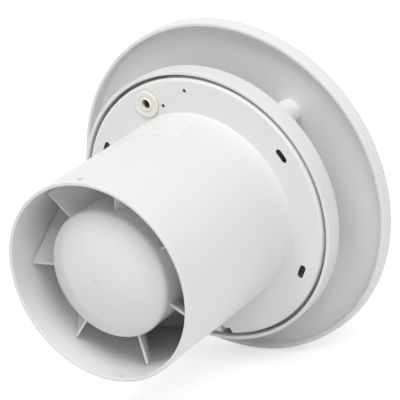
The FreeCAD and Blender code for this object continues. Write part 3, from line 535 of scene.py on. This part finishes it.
def gather(name, parts):
    """Joins loose solids into one piece."""
    bpy.ops.object.select_all(action="DESELECT")
    for part in parts:
        part.select_set(True)
    bpy.context.view_layer.objects.active = parts[0]
    bpy.ops.object.join()
    return name_new(name)


def turned_copies(piece, clocks):
    """Copies of a piece, each with its own mesh, turned to clock angles about the axis in its place."""
    copies = []
    for clock in clocks:
        pick_only(piece)
        bpy.ops.object.duplicate()
        copy = bpy.context.object
        move_piece(copy, clock=clock)
        copies.append(copy)
    bpy.data.objects.remove(piece)
    return copies


def spaced_clocks(first, count):
    """Clock angles that are spaced evenly round the axis."""
    return [first + FULL_TURN * index / count for index in range(count)]


def merge_slivers(piece):
    """Merges the corners that lie closer together than the eye can tell."""
    pick_only(piece)
    bpy.ops.object.mode_set(mode="EDIT")
    bpy.ops.mesh.select_all(action="SELECT")
    bpy.ops.mesh.remove_doubles(threshold=PLACE_GAP)
    bpy.ops.mesh.dissolve_degenerate(threshold=PLACE_GAP)
    bpy.ops.object.mode_set(mode="OBJECT")


def smooth(piece):
    """Smooths the faces that meet at a small angle."""
    pick_only(piece)
    bpy.ops.object.shade_smooth_by_angle(angle=SMOOTH_ANGLE)


def lie_flat_normals(piece):
    """Smooths small angles and keeps the flat faces flat beside their rounded edges."""
    merge_slivers(piece)
    smooth(piece)
    weigh = piece.modifiers.new("flat faces", "WEIGHTED_NORMAL")
    weigh.keep_sharp = True
    weigh.weight = FLAT_WEIGHT
    bpy.ops.object.modifier_apply(modifier=weigh.name)


def thicken(piece, thickness, side):
    """Gives a sheet its thickness."""
    pick_only(piece)
    wall = piece.modifiers.new("wall", "SOLIDIFY")
    wall.thickness = thickness
    wall.offset = side
    bpy.ops.object.modifier_apply(modifier=wall.name)


# Back plate


def slot_cutter(name, clock, radius, high):
    """A bar with round ends, along the circle through the slot's middle."""
    reach = (SLOT_LENGTH - SLOT_WIDTH) / 2
    bar = rod(name, radius, PLATE_FRONT - OVERRUN, high, 0, SLOT_CIRCLE)
    for corner in bar.data.vertices:
        corner.co.x += math.copysign(reach, corner.co.x)
    move_piece(bar, clock=clock)
    return bar


def plate_hole_cutter(name, radius, across, up):
    """A bar for a round hole right through the plate."""
    return rod(name, radius, PLATE_FRONT - OVERRUN, OVERRUN, across, up)


def notch_cutter():
    """The notch in the plate's bottom edge, with its two inner corners rounded."""
    low = (NOTCH_ACROSS - NOTCH_WIDTH / 2, PLATE_FRONT - OVERRUN, -PLATE_RADIUS - OVERRUN)
    high = (NOTCH_ACROSS + NOTCH_WIDTH / 2, OVERRUN, NOTCH_DEPTH - PLATE_RADIUS)
    cutter = block("notch_cutter", low, high)

    def is_inner_corner(first, last):
        at_top = max(abs(first.z - high[2]), abs(last.z - high[2])) < PLACE_GAP
        return at_top and abs(first.x - last.x) < PLACE_GAP

    round_edges(cutter, NOTCH_ROUND, is_inner_corner)
    return cutter


def make_spigot_plate():
    """Back plate, short skirt and duct spigot in one moulding."""
    piece = lathe("spigot_plate_moulding", (
        (SPIGOT_BORE, PLATE_FRONT),
        (SPIGOT_BORE, SPIGOT_END),
        (SPIGOT_RADIUS, SPIGOT_END),
        (SPIGOT_RADIUS, 0),
        (PLATE_RADIUS, 0),
        (PLATE_RADIUS, SKIRT_END),
        (SKIRT_BORE, SKIRT_END),
        (SKIRT_BORE, PLATE_FRONT)))
    round_loops(piece, PLATE_ROUND, ((PLATE_RADIUS, 0),))
    round_loops(piece, SPIGOT_ROUND, (
        (SPIGOT_RADIUS, 0),
        (SPIGOT_RADIUS, SPIGOT_END),
        (SPIGOT_BORE, SPIGOT_END)))
    boss = radial_rod("casing_screw_boss", SCREW_BOSS_RADIUS, SKIRT_BORE - SCREW_BOSS_LENGTH,
                      SKIRT_BORE + SCREW_BOSS_SINK, SCREW_CLOCK, SCREW_HEIGHT)
    join_to(piece, [boss])
    cutters = []
    for clock in SLOT_CLOCKS:
        cutters.append(slot_cutter("slot_cutter", clock, SLOT_WIDTH / 2, OVERRUN))
        cutters.append(slot_cutter("slot_relief_cutter", clock, SLOT_WIDTH / 2 + SLOT_RELIEF, -SLOT_LIP))
    for radius, clock in CLAMP_HOLE_PLACES:
        place = clock_point(radius, clock)
        cutters.append(plate_hole_cutter("clamp_hole_cutter", CLAMP_HOLE_RADIUS, place.x, place.z))
    cutters.append(plate_hole_cutter("peg_hole_cutter", PEG_HOLE_RADIUS, *PEG_HOLE_PLACE))
    cutters.append(plate_hole_cutter("grommet_hole_cutter", GROMMET_NECK + GROMMET_NECK_GAP,
                                     GROMMET_ACROSS, GROMMET_UP))
    cutters.append(rod("grommet_recess_cutter", GROMMET_FLANGE + GROMMET_RECESS_GAP,
                       -GROMMET_RECESS, OVERRUN, GROMMET_ACROSS, GROMMET_UP))
    cutters.append(notch_cutter())
    for clock, setback in PIVOT_HOLE_PLACES:
        cutters.append(radial_rod("pivot_hole_cutter", PIVOT_HOLE_RADIUS, SPIGOT_BORE - OVERRUN,
                                  SPIGOT_RADIUS + OVERRUN, clock, SPIGOT_END - setback))
    cutters.append(radial_rod("screw_hole_cutter", SCREW_HOLE, SKIRT_BORE - 2 * OVERRUN,
                              PLATE_RADIUS + OVERRUN, SCREW_CLOCK, SCREW_HEIGHT))
    cut_away(piece, cutters)
    lie_flat_normals(piece)
    return piece


# Casing, panel and posts


def make_front_casing():
    """Ring cover with a flared inlet and the four sockets for the panel's posts."""
    bell = (THROAT_RADIUS + BELL_ROUND, CASING_FRONT + BELL_ROUND)
    piece = lathe("front_casing_moulding", (
        (CASING_BORE, CASING_BACK),
        (CASING_RADIUS, CASING_BACK),
        (CASING_RADIUS, CASING_FRONT),
        *arc(bell, BELL_ROUND, FORWARDS, INWARDS, LARGE_ROUND_STEPS),
        (THROAT_RADIUS, COLLAR_END),
        (THROAT_RADIUS + CASING_WALL, COLLAR_END),
        *arc(bell, BELL_ROUND - CASING_WALL, INWARDS, FORWARDS, LARGE_ROUND_STEPS),
        (CASING_BORE, CASING_FRONT + CASING_WALL)))
    round_loops(piece, CASING_ROUND, ((CASING_RADIUS, CASING_FRONT),))
    round_loops(piece, CASING_LIP_ROUND, ((CASING_RADIUS, CASING_BACK), (CASING_BORE, CASING_BACK)))
    sockets = []
    cutters = []
    root = CASING_FRONT + CASING_WALL / 2
    mouth = CASING_FRONT - OVERRUN
    for clock in POST_CLOCKS:
        place = clock_point(POST_CIRCLE, clock)
        sockets.append(rod("socket", SOCKET_RADIUS, root, SOCKET_END, place.x, place.z))
        cutters.append(rod("socket_cutter", SOCKET_BORE, mouth, OVERRUN, place.x, place.z))
    cutters.append(radial_rod("screw_passage_cutter", SCREW_PASSAGE, CASING_BORE - OVERRUN / 2,
                              CASING_RADIUS + OVERRUN, SCREW_CLOCK, SCREW_HEIGHT))
    join_to(piece, sockets)
    cut_away(piece, cutters)
    lie_flat_normals(piece)
    return piece


def make_front_panel():
    """Dished front panel with a rim that is turned back towards the wall."""
    crown_radius = (PANEL_RADIUS ** 2 + PANEL_CROWN ** 2) / (2 * PANEL_CROWN)
    centre = (0, PANEL_FRONT + crown_radius)
    reach = math.degrees(math.asin(PANEL_RADIUS / crown_radius))
    piece = lathe("front_panel_moulding", (
        (0, PANEL_INSIDE),
        (RIM_ROOT_BORE, PANEL_INSIDE),
        (LIP_BORE, LIP_END),
        (LIP_RADIUS, LIP_END),
        *arc(centre, crown_radius, FORWARDS + reach, FORWARDS, CROWN_STEPS)))
    edge = (PANEL_RADIUS, PANEL_FRONT + PANEL_CROWN)
    round_loops(piece, PANEL_ROUND, (edge,), LARGE_ROUND_STEPS)
    round_loops(piece, LIP_ROUND, ((LIP_BORE, LIP_END), (LIP_RADIUS, LIP_END)))
    round_loops(piece, RIM_ROOT_ROUND, ((RIM_ROOT_BORE, PANEL_INSIDE),))
    lie_flat_normals(piece)
    return piece


def make_posts():
    """Four posts that carry the panel, each with a plug at its end."""
    post = lathe("post", (
        (0, PANEL_INSIDE),
        (POST_RADIUS, PANEL_INSIDE),
        (POST_RADIUS, POST_SHOULDER),
        (POST_PIN, POST_SHOULDER),
        (POST_PIN, POST_TIP),
        (0, POST_TIP)), SMALL_TURN_STEPS)
    round_loops(post, POST_ROUND, ((POST_RADIUS, POST_SHOULDER),))
    round_loops(post, POST_TIP_ROUND, ((POST_PIN, POST_TIP),))
    move_piece(post, (0, 0, POST_CIRCLE))
    piece = gather("standoff_post_set", turned_copies(post, POST_CLOCKS))
    lie_flat_normals(piece)
    return piece


# Motor cup and impeller


def guide_vane():
    """A curved vane that turns the swirl back along the axis, with its tip relieved at the rear."""
    bpy.ops.object.select_all(action="DESELECT")
    bpy.ops.mesh.primitive_grid_add(x_subdivisions=VANE_CUTS, y_subdivisions=VANE_STEPS, size=1)
    vane = name_new("vane")
    for corner in vane.data.vertices:
        outwards = corner.co.x + UNIT_HALF
        rearwards = corner.co.y + UNIT_HALF
        depth = (1 - rearwards) * VANE_LENGTH
        bent = min(depth, VANE_BEND)
        turn = VANE_TWIST * depth + VANE_CAMBER * bent * (2 * depth - bent)
        tip = VANE_TIP - VANE_TIP_RELIEF * max(0, 1 - depth / VANE_RELIEF_LENGTH)
        height = VANE_REAR - depth - VANE_SWEEP * (1 - outwards) * rearwards
        radius = VANE_ROOT + (tip - VANE_ROOT) * outwards
        corner.co = clock_point(radius, -turn, height)
    thicken(vane, VANE_THICKNESS, BOTH_SIDES)
    face_outwards(vane)
    return vane


def make_motor_cup():
    """Domed motor cup on seven curved guide vanes, with the mark of its moulding gate."""
    shoulder = (CUP_RADIUS - CUP_ROUND, CUP_SHOULDER)
    squares = shoulder[0] ** 2 + NOSE_HEIGHT ** 2 - CUP_ROUND ** 2
    dome_radius = squares / (2 * (NOSE_HEIGHT - CUP_ROUND))
    centre = (0, CUP_NOSE - dome_radius)
    foot = math.degrees(math.atan2(shoulder[1] - centre[1], shoulder[0]))
    piece = lathe("motor_cup_moulding", (
        (0, CUP_MOUTH),
        (CUP_RADIUS, CUP_MOUTH),
        *arc(shoulder, CUP_ROUND, OUTWARDS, foot, LARGE_ROUND_STEPS),
        *arc(centre, dome_radius, foot, REARWARDS, DOME_STEPS)[1:]))
    cavity = lathe("motor_cup_cavity", (
        (0, CUP_MOUTH - OVERRUN),
        (CUP_BORE, CUP_MOUTH - OVERRUN),
        *arc(shoulder, CUP_ROUND - CUP_WALL, OUTWARDS, foot, ROUND_STEPS),
        *arc(centre, dome_radius - CUP_WALL, foot, REARWARDS, DOME_STEPS)[1:]))
    bosses = []
    holes = []
    for clock in CUP_BOSS_CLOCKS:
        place = clock_point(CUP_BOSS_CIRCLE, clock)
        bosses.append(rod("cup_boss", CUP_BOSS_RADIUS, CUP_BOSS_END, CUP_NOSE + OVERRUN,
                          place.x, place.z))
        holes.append(rod("boss_hole_cutter", BOSS_HOLE_RADIUS, CUP_BOSS_END - OVERRUN,
                         CUP_BOSS_END + BOSS_HOLE_DEPTH, place.x, place.z))
    cut_away(cavity, bosses)
    cut_away(piece, [cavity])
    join_to(piece, turned_copies(guide_vane(), spaced_clocks(VANE_CLOCK, VANE_COUNT)))
    gate = rod("gate_cutter", GATE_RADIUS, CUP_NOSE - GATE_DEPTH, CUP_NOSE + OVERRUN, 0, 0)
    stub = rod("gate_stub", GATE_STUB_RADIUS, CUP_NOSE - CUP_WALL / 2, CUP_NOSE - GATE_STUB_DROP, 0, 0)
    cut_away(piece, holes + [gate])
    join_to(piece, [stub])
    lie_flat_normals(piece)
    return piece


def impeller_blade():
    """A radial strip swept along a helix and cut square at both ends."""
    low = BLADE_FRONT - BLADE_RUN_IN
    sweep = BLADE_RUN_IN + BLADE_LENGTH + BLADE_RUN_OUT
    bpy.ops.object.select_all(action="DESELECT")
    bpy.ops.mesh.primitive_plane_add(size=1)
    blade = name_new("blade")
    bpy.ops.object.mode_set(mode="EDIT")
    bpy.ops.mesh.select_mode(type="VERT")
    bpy.ops.mesh.select_all(action="SELECT")
    bpy.ops.transform.resize(value=(BLADE_TIP - BLADE_ROOT, BLADE_THICKNESS, 1))
    bpy.ops.transform.translate(value=((BLADE_TIP + BLADE_ROOT) / 2, low + BLADE_THICKNESS / 2, 0))
    bpy.ops.mesh.delete(type="ONLY_FACE")
    bpy.ops.mesh.select_all(action="SELECT")
    bpy.ops.mesh.subdivide(number_cuts=BLADE_CUTS)
    bpy.ops.object.mode_set(mode="OBJECT")
    screw = blade.modifiers.new("sweep", "SCREW")
    screw.axis = "Y"
    screw.angle = math.tau * sweep / BLADE_PITCH
    screw.screw_offset = sweep
    screw.steps = BLADE_STEPS
    screw.render_steps = BLADE_STEPS
    bpy.ops.object.modifier_apply(modifier=screw.name)
    bpy.ops.object.mode_set(mode="EDIT")
    for end, way in ((BLADE_REAR, 1), (BLADE_FRONT, -1)):
        bpy.ops.mesh.select_all(action="SELECT")
        bpy.ops.mesh.bisect(plane_co=(0, end, 0), plane_no=(0, way, 0), use_fill=True, clear_outer=True)
    bpy.ops.object.mode_set(mode="OBJECT")
    face_outwards(blade)
    return blade


def make_impeller():
    """Axial impeller: a hub that is closed in front, with eight helical blades."""
    corner = (HUB_RADIUS - HUB_ROUND, HUB_FRONT + HUB_ROUND)
    piece = lathe("impeller_moulding", (
        (HUB_BOSS_BORE, HUB_FRONT),
        (HUB_RADIUS, HUB_FRONT),
        (HUB_RADIUS, HUB_REAR),
        (HUB_BORE, HUB_REAR),
        *arc(corner, HUB_ROUND - HUB_WALL, OUTWARDS, FORWARDS - FULL_TURN, LARGE_ROUND_STEPS),
        (HUB_BOSS_RADIUS, HUB_FRONT + HUB_WALL),
        (HUB_BOSS_RADIUS, HUB_FRONT + HUB_BOSS_LENGTH),
        (HUB_BOSS_BORE, HUB_FRONT + HUB_BOSS_LENGTH)))
    round_loops(piece, HUB_ROUND, ((HUB_RADIUS, HUB_FRONT),), LARGE_ROUND_STEPS)
    join_to(piece, turned_copies(impeller_blade(), spaced_clocks(-QUARTER_TURN, BLADE_COUNT)))
    lie_flat_normals(piece)
    return piece


# Grommet, screw and label


def make_grommet():
    """Stepped rubber grommet with a groove round its collar."""
    piece = lathe("cable_grommet_moulding", (
        (GROMMET_CAVITY, GROMMET_LOW.y),
        (GROMMET_INNER, GROMMET_LOW.y),
        (GROMMET_INNER, PLATE_FRONT),
        (GROMMET_NECK, PLATE_FRONT),
        (GROMMET_NECK, -GROMMET_RECESS),
        (GROMMET_FLANGE, -GROMMET_RECESS),
        (GROMMET_FLANGE, GROMMET_FACE),
        (GROMMET_GROOVE, GROMMET_FACE),
        (GROMMET_GROOVE, GROMMET_GROOVE_FLOOR),
        (GROMMET_COLLAR, GROMMET_GROOVE_FLOOR),
        (GROMMET_COLLAR, GROMMET_HIGH.y),
        (GROMMET_BORE, GROMMET_HIGH.y),
        (GROMMET_BORE, GROMMET_CAVITY_END),
        (GROMMET_CAVITY, GROMMET_CAVITY_END)), MEDIUM_TURN_STEPS)
    round_loops(piece, GROMMET_FLANGE_ROUND, ((GROMMET_FLANGE, GROMMET_FACE),))
    round_loops(piece, GROMMET_ROUND, (
        (GROMMET_GROOVE, GROMMET_FACE),
        (GROMMET_COLLAR, GROMMET_HIGH.y),
        (GROMMET_BORE, GROMMET_HIGH.y)))
    move_piece(piece, (GROMMET_ACROSS, 0, GROMMET_UP))
    lie_flat_normals(piece)
    return piece


def make_casing_screw():
    """Pan head screw with a cross recess, set radially in the casing's wall."""
    top = CASING_RADIUS + SCREW_HEAD_LENGTH
    piece = lathe("casing_screw_turned", (
        (0, CASING_RADIUS),
        (SCREW_HEAD_RADIUS, CASING_RADIUS),
        (SCREW_HEAD_RADIUS, top),
        (0, top)), SMALL_TURN_STEPS)
    round_loops(piece, SCREW_HEAD_ROUND, ((SCREW_HEAD_RADIUS, top),))
    shank = rod("casing_screw_shank", SCREW_RADIUS, CASING_RADIUS - SCREW_LENGTH,
                CASING_RADIUS + SCREW_SHANK_SINK, 0, 0)
    join_to(piece, [shank])
    floor = top - SCREW_CROSS_DEPTH
    long = SCREW_CROSS_LENGTH / 2
    thin = SCREW_CROSS_WIDTH / 2
    cross = [block("cross_cutter", (-long, floor, -thin), (long, top + OVERRUN, thin)),
             block("cross_cutter", (-thin, floor, -long), (thin, top + OVERRUN, long))]
    cut_away(piece, cross)
    move_piece(piece, (0, SCREW_HEIGHT, 0), SCREW_CLOCK, QUARTER_TURN)
    lie_flat_normals(piece)
    return piece


def make_label():
    """Blank paper label, stuck slightly askew round the top of the spigot."""
    bpy.ops.object.select_all(action="DESELECT")
    bpy.ops.mesh.primitive_grid_add(x_subdivisions=LABEL_STEPS, y_subdivisions=LABEL_STEPS, size=1)
    piece = name_new("blank_label")
    bpy.ops.object.mode_set(mode="EDIT")
    bpy.ops.mesh.select_all(action="SELECT")
    bpy.ops.transform.resize(value=(LABEL_WIDTH, LABEL_LENGTH, 1))
    bpy.ops.object.mode_set(mode="OBJECT")
    askew = Matrix.Rotation(math.radians(LABEL_ASKEW), 4, "Z")
    for corner in piece.data.vertices:
        flat = askew @ corner.co
        clock = LABEL_CLOCK + math.degrees(flat.x / SPIGOT_RADIUS)
        corner.co = clock_point(SPIGOT_RADIUS + LABEL_LIFT, clock, LABEL_MIDDLE + flat.y)
    face_outwards(piece)
    first_face = piece.data.polygons[0]
    if first_face.normal.dot(first_face.center) < 0:
        bpy.ops.object.mode_set(mode="EDIT")
        bpy.ops.mesh.flip_normals()
        bpy.ops.object.mode_set(mode="OBJECT")
    thicken(piece, LABEL_THICKNESS, OUTER_SIDE)
    smooth(piece)
    return piece


# Materials


def build_skin_group():
    """Moulded skin: slow drift of colour and gloss with a fine spark-eroded grain."""
    group = bpy.data.node_groups.new("moulded skin", "ShaderNodeTree")
    for name, way, kind in (
            ("Colour", "INPUT", "NodeSocketColor"),
            ("Tint", "INPUT", "NodeSocketColor"),
            ("Drift scale", "INPUT", "NodeSocketFloat"),
            ("Grain scale", "INPUT", "NodeSocketFloat"),
            ("Least roughness", "INPUT", "NodeSocketFloat"),
            ("Most roughness", "INPUT", "NodeSocketFloat"),
            ("Colour", "OUTPUT", "NodeSocketColor"),
            ("Roughness", "OUTPUT", "NodeSocketFloat"),
            ("Height", "OUTPUT", "NodeSocketFloat")):
        group.interface.new_socket(name=name, in_out=way, socket_type=kind)
    nodes = group.nodes
    link = group.links.new
    given = nodes.new("NodeGroupInput")
    result = nodes.new("NodeGroupOutput")
    place = nodes.new("ShaderNodeTexCoord")
    drift = nodes.new("ShaderNodeTexNoise")
    drift.inputs["Detail"].default_value = DRIFT_DETAIL
    drift.inputs["Roughness"].default_value = DRIFT_ROUGHNESS
    grain = nodes.new("ShaderNodeTexNoise")
    grain.inputs["Detail"].default_value = GRAIN_DETAIL
    blend = nodes.new("ShaderNodeMix")
    blend.data_type = "RGBA"
    spread = nodes.new("ShaderNodeMapRange")
    link(place.outputs["Object"], drift.inputs["Vector"])
    link(place.outputs["Object"], grain.inputs["Vector"])
    link(given.outputs["Drift scale"], drift.inputs["Scale"])
    link(given.outputs["Grain scale"], grain.inputs["Scale"])
    link(drift.outputs["Fac"], blend.inputs["Factor"])
    link(given.outputs["Colour"], blend.inputs["A"])
    link(given.outputs["Tint"], blend.inputs["B"])
    link(drift.outputs["Fac"], spread.inputs["Value"])
    link(given.outputs["Least roughness"], spread.inputs["To Min"])
    link(given.outputs["Most roughness"], spread.inputs["To Max"])
    link(blend.outputs["Result"], result.inputs["Colour"])
    link(spread.outputs["Result"], result.inputs["Roughness"])
    link(grain.outputs["Fac"], result.inputs["Height"])
    return group


def skin_material(name, colours, gloss, drift=SKIN_DRIFT, grain=SKIN_GRAIN, bump=SKIN_BUMP):
    """A moulded plastic, rubber or paper with the shared skin."""
    material = bpy.data.materials.new(name)
    material.use_nodes = True
    nodes = material.node_tree.nodes
    link = material.node_tree.links.new
    shader = nodes["Principled BSDF"]
    skin = nodes.new("ShaderNodeGroup")
    skin.node_tree = skin_group
    skin.inputs["Colour"].default_value, skin.inputs["Tint"].default_value = colours
    skin.inputs["Drift scale"].default_value = drift
    skin.inputs["Grain scale"].default_value = grain
    skin.inputs["Least roughness"].default_value, skin.inputs["Most roughness"].default_value = gloss
    relief = nodes.new("ShaderNodeBump")
    relief.inputs["Strength"].default_value = bump
    relief.inputs["Distance"].default_value = GRAIN_DEPTH
    link(skin.outputs["Colour"], shader.inputs["Base Color"])
    link(skin.outputs["Roughness"], shader.inputs["Roughness"])
    link(skin.outputs["Height"], relief.inputs["Height"])
    link(relief.outputs["Normal"], shader.inputs["Normal"])
    return material


def metal_material(name, colours, gloss, drift=METAL_DRIFT, grain=METAL_GRAIN, bump=METAL_BUMP):
    """A metal with the shared skin's drift of colour and gloss."""
    material = skin_material(name, colours, gloss, drift, grain, bump)
    material.node_tree.nodes["Principled BSDF"].inputs["Metallic"].default_value = 1
    return material


def banded_metal(name, colours, gloss, pitch, depth):
    """A stack of sheets or turns of wire: fine bands along the axis over the shared skin."""
    material = metal_material(name, colours, gloss, SKIN_DRIFT, SKIN_GRAIN)
    nodes = material.node_tree.nodes
    link = material.node_tree.links.new
    place = nodes.new("ShaderNodeTexCoord")
    bands = nodes.new("ShaderNodeTexWave")
    bands.bands_direction = "Y"
    bands.inputs["Scale"].default_value = math.tau / (WAVE_TURNS * pitch)
    relief = nodes["Bump"]
    relief.inputs["Strength"].default_value = 1
    relief.inputs["Distance"].default_value = depth
    link(place.outputs["Object"], bands.inputs["Vector"])
    link(bands.outputs["Fac"], relief.inputs["Height"])
    return material


def dress(piece, material):
    """Gives a piece its one material."""
    piece.data.materials.clear()
    piece.data.materials.append(material)


# Studio


def background_share(nodes, link):
    """1 where the camera or a reflected or refracted ray meets the background, and 0 for its light."""
    path = nodes.new("ShaderNodeLightPath")
    either = nodes.new("ShaderNodeMath")
    either.operation = "MAXIMUM"
    whole = nodes.new("ShaderNodeMath")
    whole.operation = "MAXIMUM"
    link(path.outputs["Is Camera Ray"], either.inputs[0])
    link(path.outputs["Is Glossy Ray"], either.inputs[1])
    link(either.outputs["Value"], whole.inputs[0])
    link(path.outputs["Is Transmission Ray"], whole.inputs[1])
    return whole.outputs["Value"]


def make_floor():
    """Pale paper floor that shows near white and keeps the fan's shadow."""
    bpy.ops.object.select_all(action="DESELECT")
    bpy.ops.mesh.primitive_plane_add(size=FLOOR_SIZE, location=(0, 0, cad_box[0].z))
    floor = name_new("studio_floor")
    paper = bpy.data.materials.new("studio paper")
    paper.use_nodes = True
    nodes = paper.node_tree.nodes
    link = paper.node_tree.links.new
    nodes.remove(nodes["Principled BSDF"])
    matt = nodes.new("ShaderNodeBsdfDiffuse")
    matt.inputs["Color"].default_value = FLOOR_COLOUR
    glow = nodes.new("ShaderNodeEmission")
    lift = nodes.new("ShaderNodeMath")
    lift.operation = "MULTIPLY"
    lift.inputs[1].default_value = FLOOR_LIFT
    both = nodes.new("ShaderNodeAddShader")
    link(background_share(nodes, link), lift.inputs[0])
    link(lift.outputs["Value"], glow.inputs["Strength"])
    link(matt.outputs["BSDF"], both.inputs[0])
    link(glow.outputs["Emission"], both.inputs[1])
    link(both.outputs["Shader"], nodes["Material Output"].inputs["Surface"])
    floor.data.materials.append(paper)


def make_surroundings():
    """White surroundings that light the fan at a plain level."""
    world = bpy.data.worlds.new("studio surroundings")
    bpy.context.scene.world = world
    world.use_nodes = True
    nodes = world.node_tree.nodes
    link = world.node_tree.links.new
    light = nodes["Background"]
    light.inputs["Color"].default_value = PURE_WHITE
    light.inputs["Strength"].default_value = WORLD_LIGHT
    white = nodes.new("ShaderNodeBackground")
    white.inputs["Color"].default_value = PURE_WHITE
    white.inputs["Strength"].default_value = 1
    choice = nodes.new("ShaderNodeMixShader")
    link(background_share(nodes, link), choice.inputs["Fac"])
    link(light.outputs["Background"], choice.inputs[1])
    link(white.outputs["Background"], choice.inputs[2])
    link(choice.outputs["Shader"], nodes["World Output"].inputs["Surface"])


def make_lamps():
    """Soft round lamps that face the fan."""
    for name, place, power in STUDIO_LAMPS:
        bpy.ops.object.light_add(type="AREA", location=place)
        lamp = name_new(name)
        lamp.data.shape = "DISK"
        lamp.data.size = LAMP_SIZE
        lamp.data.energy = power
        lamp.rotation_euler = (-Vector(place)).to_track_quat("-Z", "Y").to_euler()


def make_camera():
    """Camera at the photograph's viewing angle."""
    turn = [math.radians(angle) for angle in CAMERA_TURN]
    bpy.ops.object.camera_add(location=CAMERA_PLACE, rotation=turn)
    camera = bpy.context.object
    camera.data.sensor_width = CAMERA_SENSOR
    camera.data.lens = CAMERA_LENS
    camera.data.shift_x, camera.data.shift_y = CAMERA_SHIFT
    camera.data.clip_start = CAMERA_NEAR
    bpy.context.scene.camera = camera
    bpy.context.scene.view_settings.view_transform = "Standard"


skin_group = build_skin_group()
body_white = skin_material("satin white plastic", WHITE, SATIN)
panel_white = skin_material("panel white plastic", WHITE, PANEL_SATIN)
cup_white = skin_material("glossy white plastic", CUP_WHITE, GLOSSY, bump=CUP_BUMP)
blade_white = skin_material("blade white plastic", BLADE_WHITE, SOFT_SATIN)
cream_rubber = skin_material("cream rubber", CREAM, MATT, RUBBER_DRIFT, RUBBER_GRAIN, RUBBER_BUMP)
label_paper = skin_material("label paper", LABEL_WHITE, SOFT_SATIN, PAPER_DRIFT, PAPER_GRAIN)
clear_nylon = skin_material("natural nylon", NYLON, NYLON_SHEEN)
black_plastic = skin_material("black plastic", BLACK, CAST, bump=BLACK_BUMP)
# Blackened steel for the clamp screws: a real finish for such screws, and also made this dark as painted
# shade for the two clamp holes
blackened_steel_hole_shade = metal_material("blackened steel with painted hole shade", BLACK, BLACKENED)
bright_steel = metal_material("bright steel", STEEL, BRIGHT)
cast_zinc = metal_material("cast zinc", ZINC, CAST, bump=CAST_BUMP)
sintered_bronze = metal_material("sintered bronze", BRONZE, MATT, grain=BRONZE_GRAIN, bump=CAST_BUMP)
bright_brass = metal_material("bright brass", BRASS, POLISHED)
core_sheets = banded_metal("core sheets", SHEET_STEEL, CAST, SHEET_PITCH, SHEET_DEPTH)
wound_copper = banded_metal("wound copper", COPPER, POLISHED, WIRE_PITCH, WIRE_DEPTH)

PIECES = (
    (make_spigot_plate, body_white, "fan_body", "white_body", "spigot_plate"),
    (make_front_casing, body_white, "fan_body", "white_body", "front_casing"),
    (make_motor_cup, cup_white, "fan_body", "white_cup", "motor_cup"),
    (make_grommet, cream_rubber, "fan_body", "cream_rubber", "cable_grommet"),
    (make_casing_screw, bright_steel, "fan_body", "steel", "casing_screw"),
    (make_impeller, blade_white, "rotor", "white_impeller", "impeller"),
    (make_front_panel, panel_white, "panel", "white_panel", "front_panel"),
    (make_posts, panel_white, "panel", "white_panel", "standoff_posts"),
)
for make, material, body, slot, node in PIECES:
    made = make()
    dress(made, material)
    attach(made, body)
    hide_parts(node)

label = make_label()
dress(label, label_paper)
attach(label, "fan_body")

NODE_MATERIALS = {
    "impeller_clip": bright_steel,
    "motor_shaft": bright_steel,
    "rotor_core": core_sheets,
    "thrust_washers": clear_nylon,
    "stator_core": core_sheets,
    "stator_coils": wound_copper,
    "front_bracket": cast_zinc,
    "rear_bracket": cast_zinc,
    "front_bearing": sintered_bronze,
    "rear_bearing": sintered_bronze,
    "motor_screws": bright_steel,
    "terminal_block": clear_nylon,
    "terminal_clamps": bright_brass,
    "terminal_screws": bright_steel,
    "cable_clamp": black_plastic,
    # The clamp screws' black is partly their real finish and partly painted shade at the bottom of the
    # clamp holes
    "clamp_screws": blackened_steel_hole_shade,
}
for node, material in NODE_MATERIALS.items():
    frame["nodes"][node].material_slots[0].material = material

make_floor()
make_surroundings()
make_lamps()
make_camera()
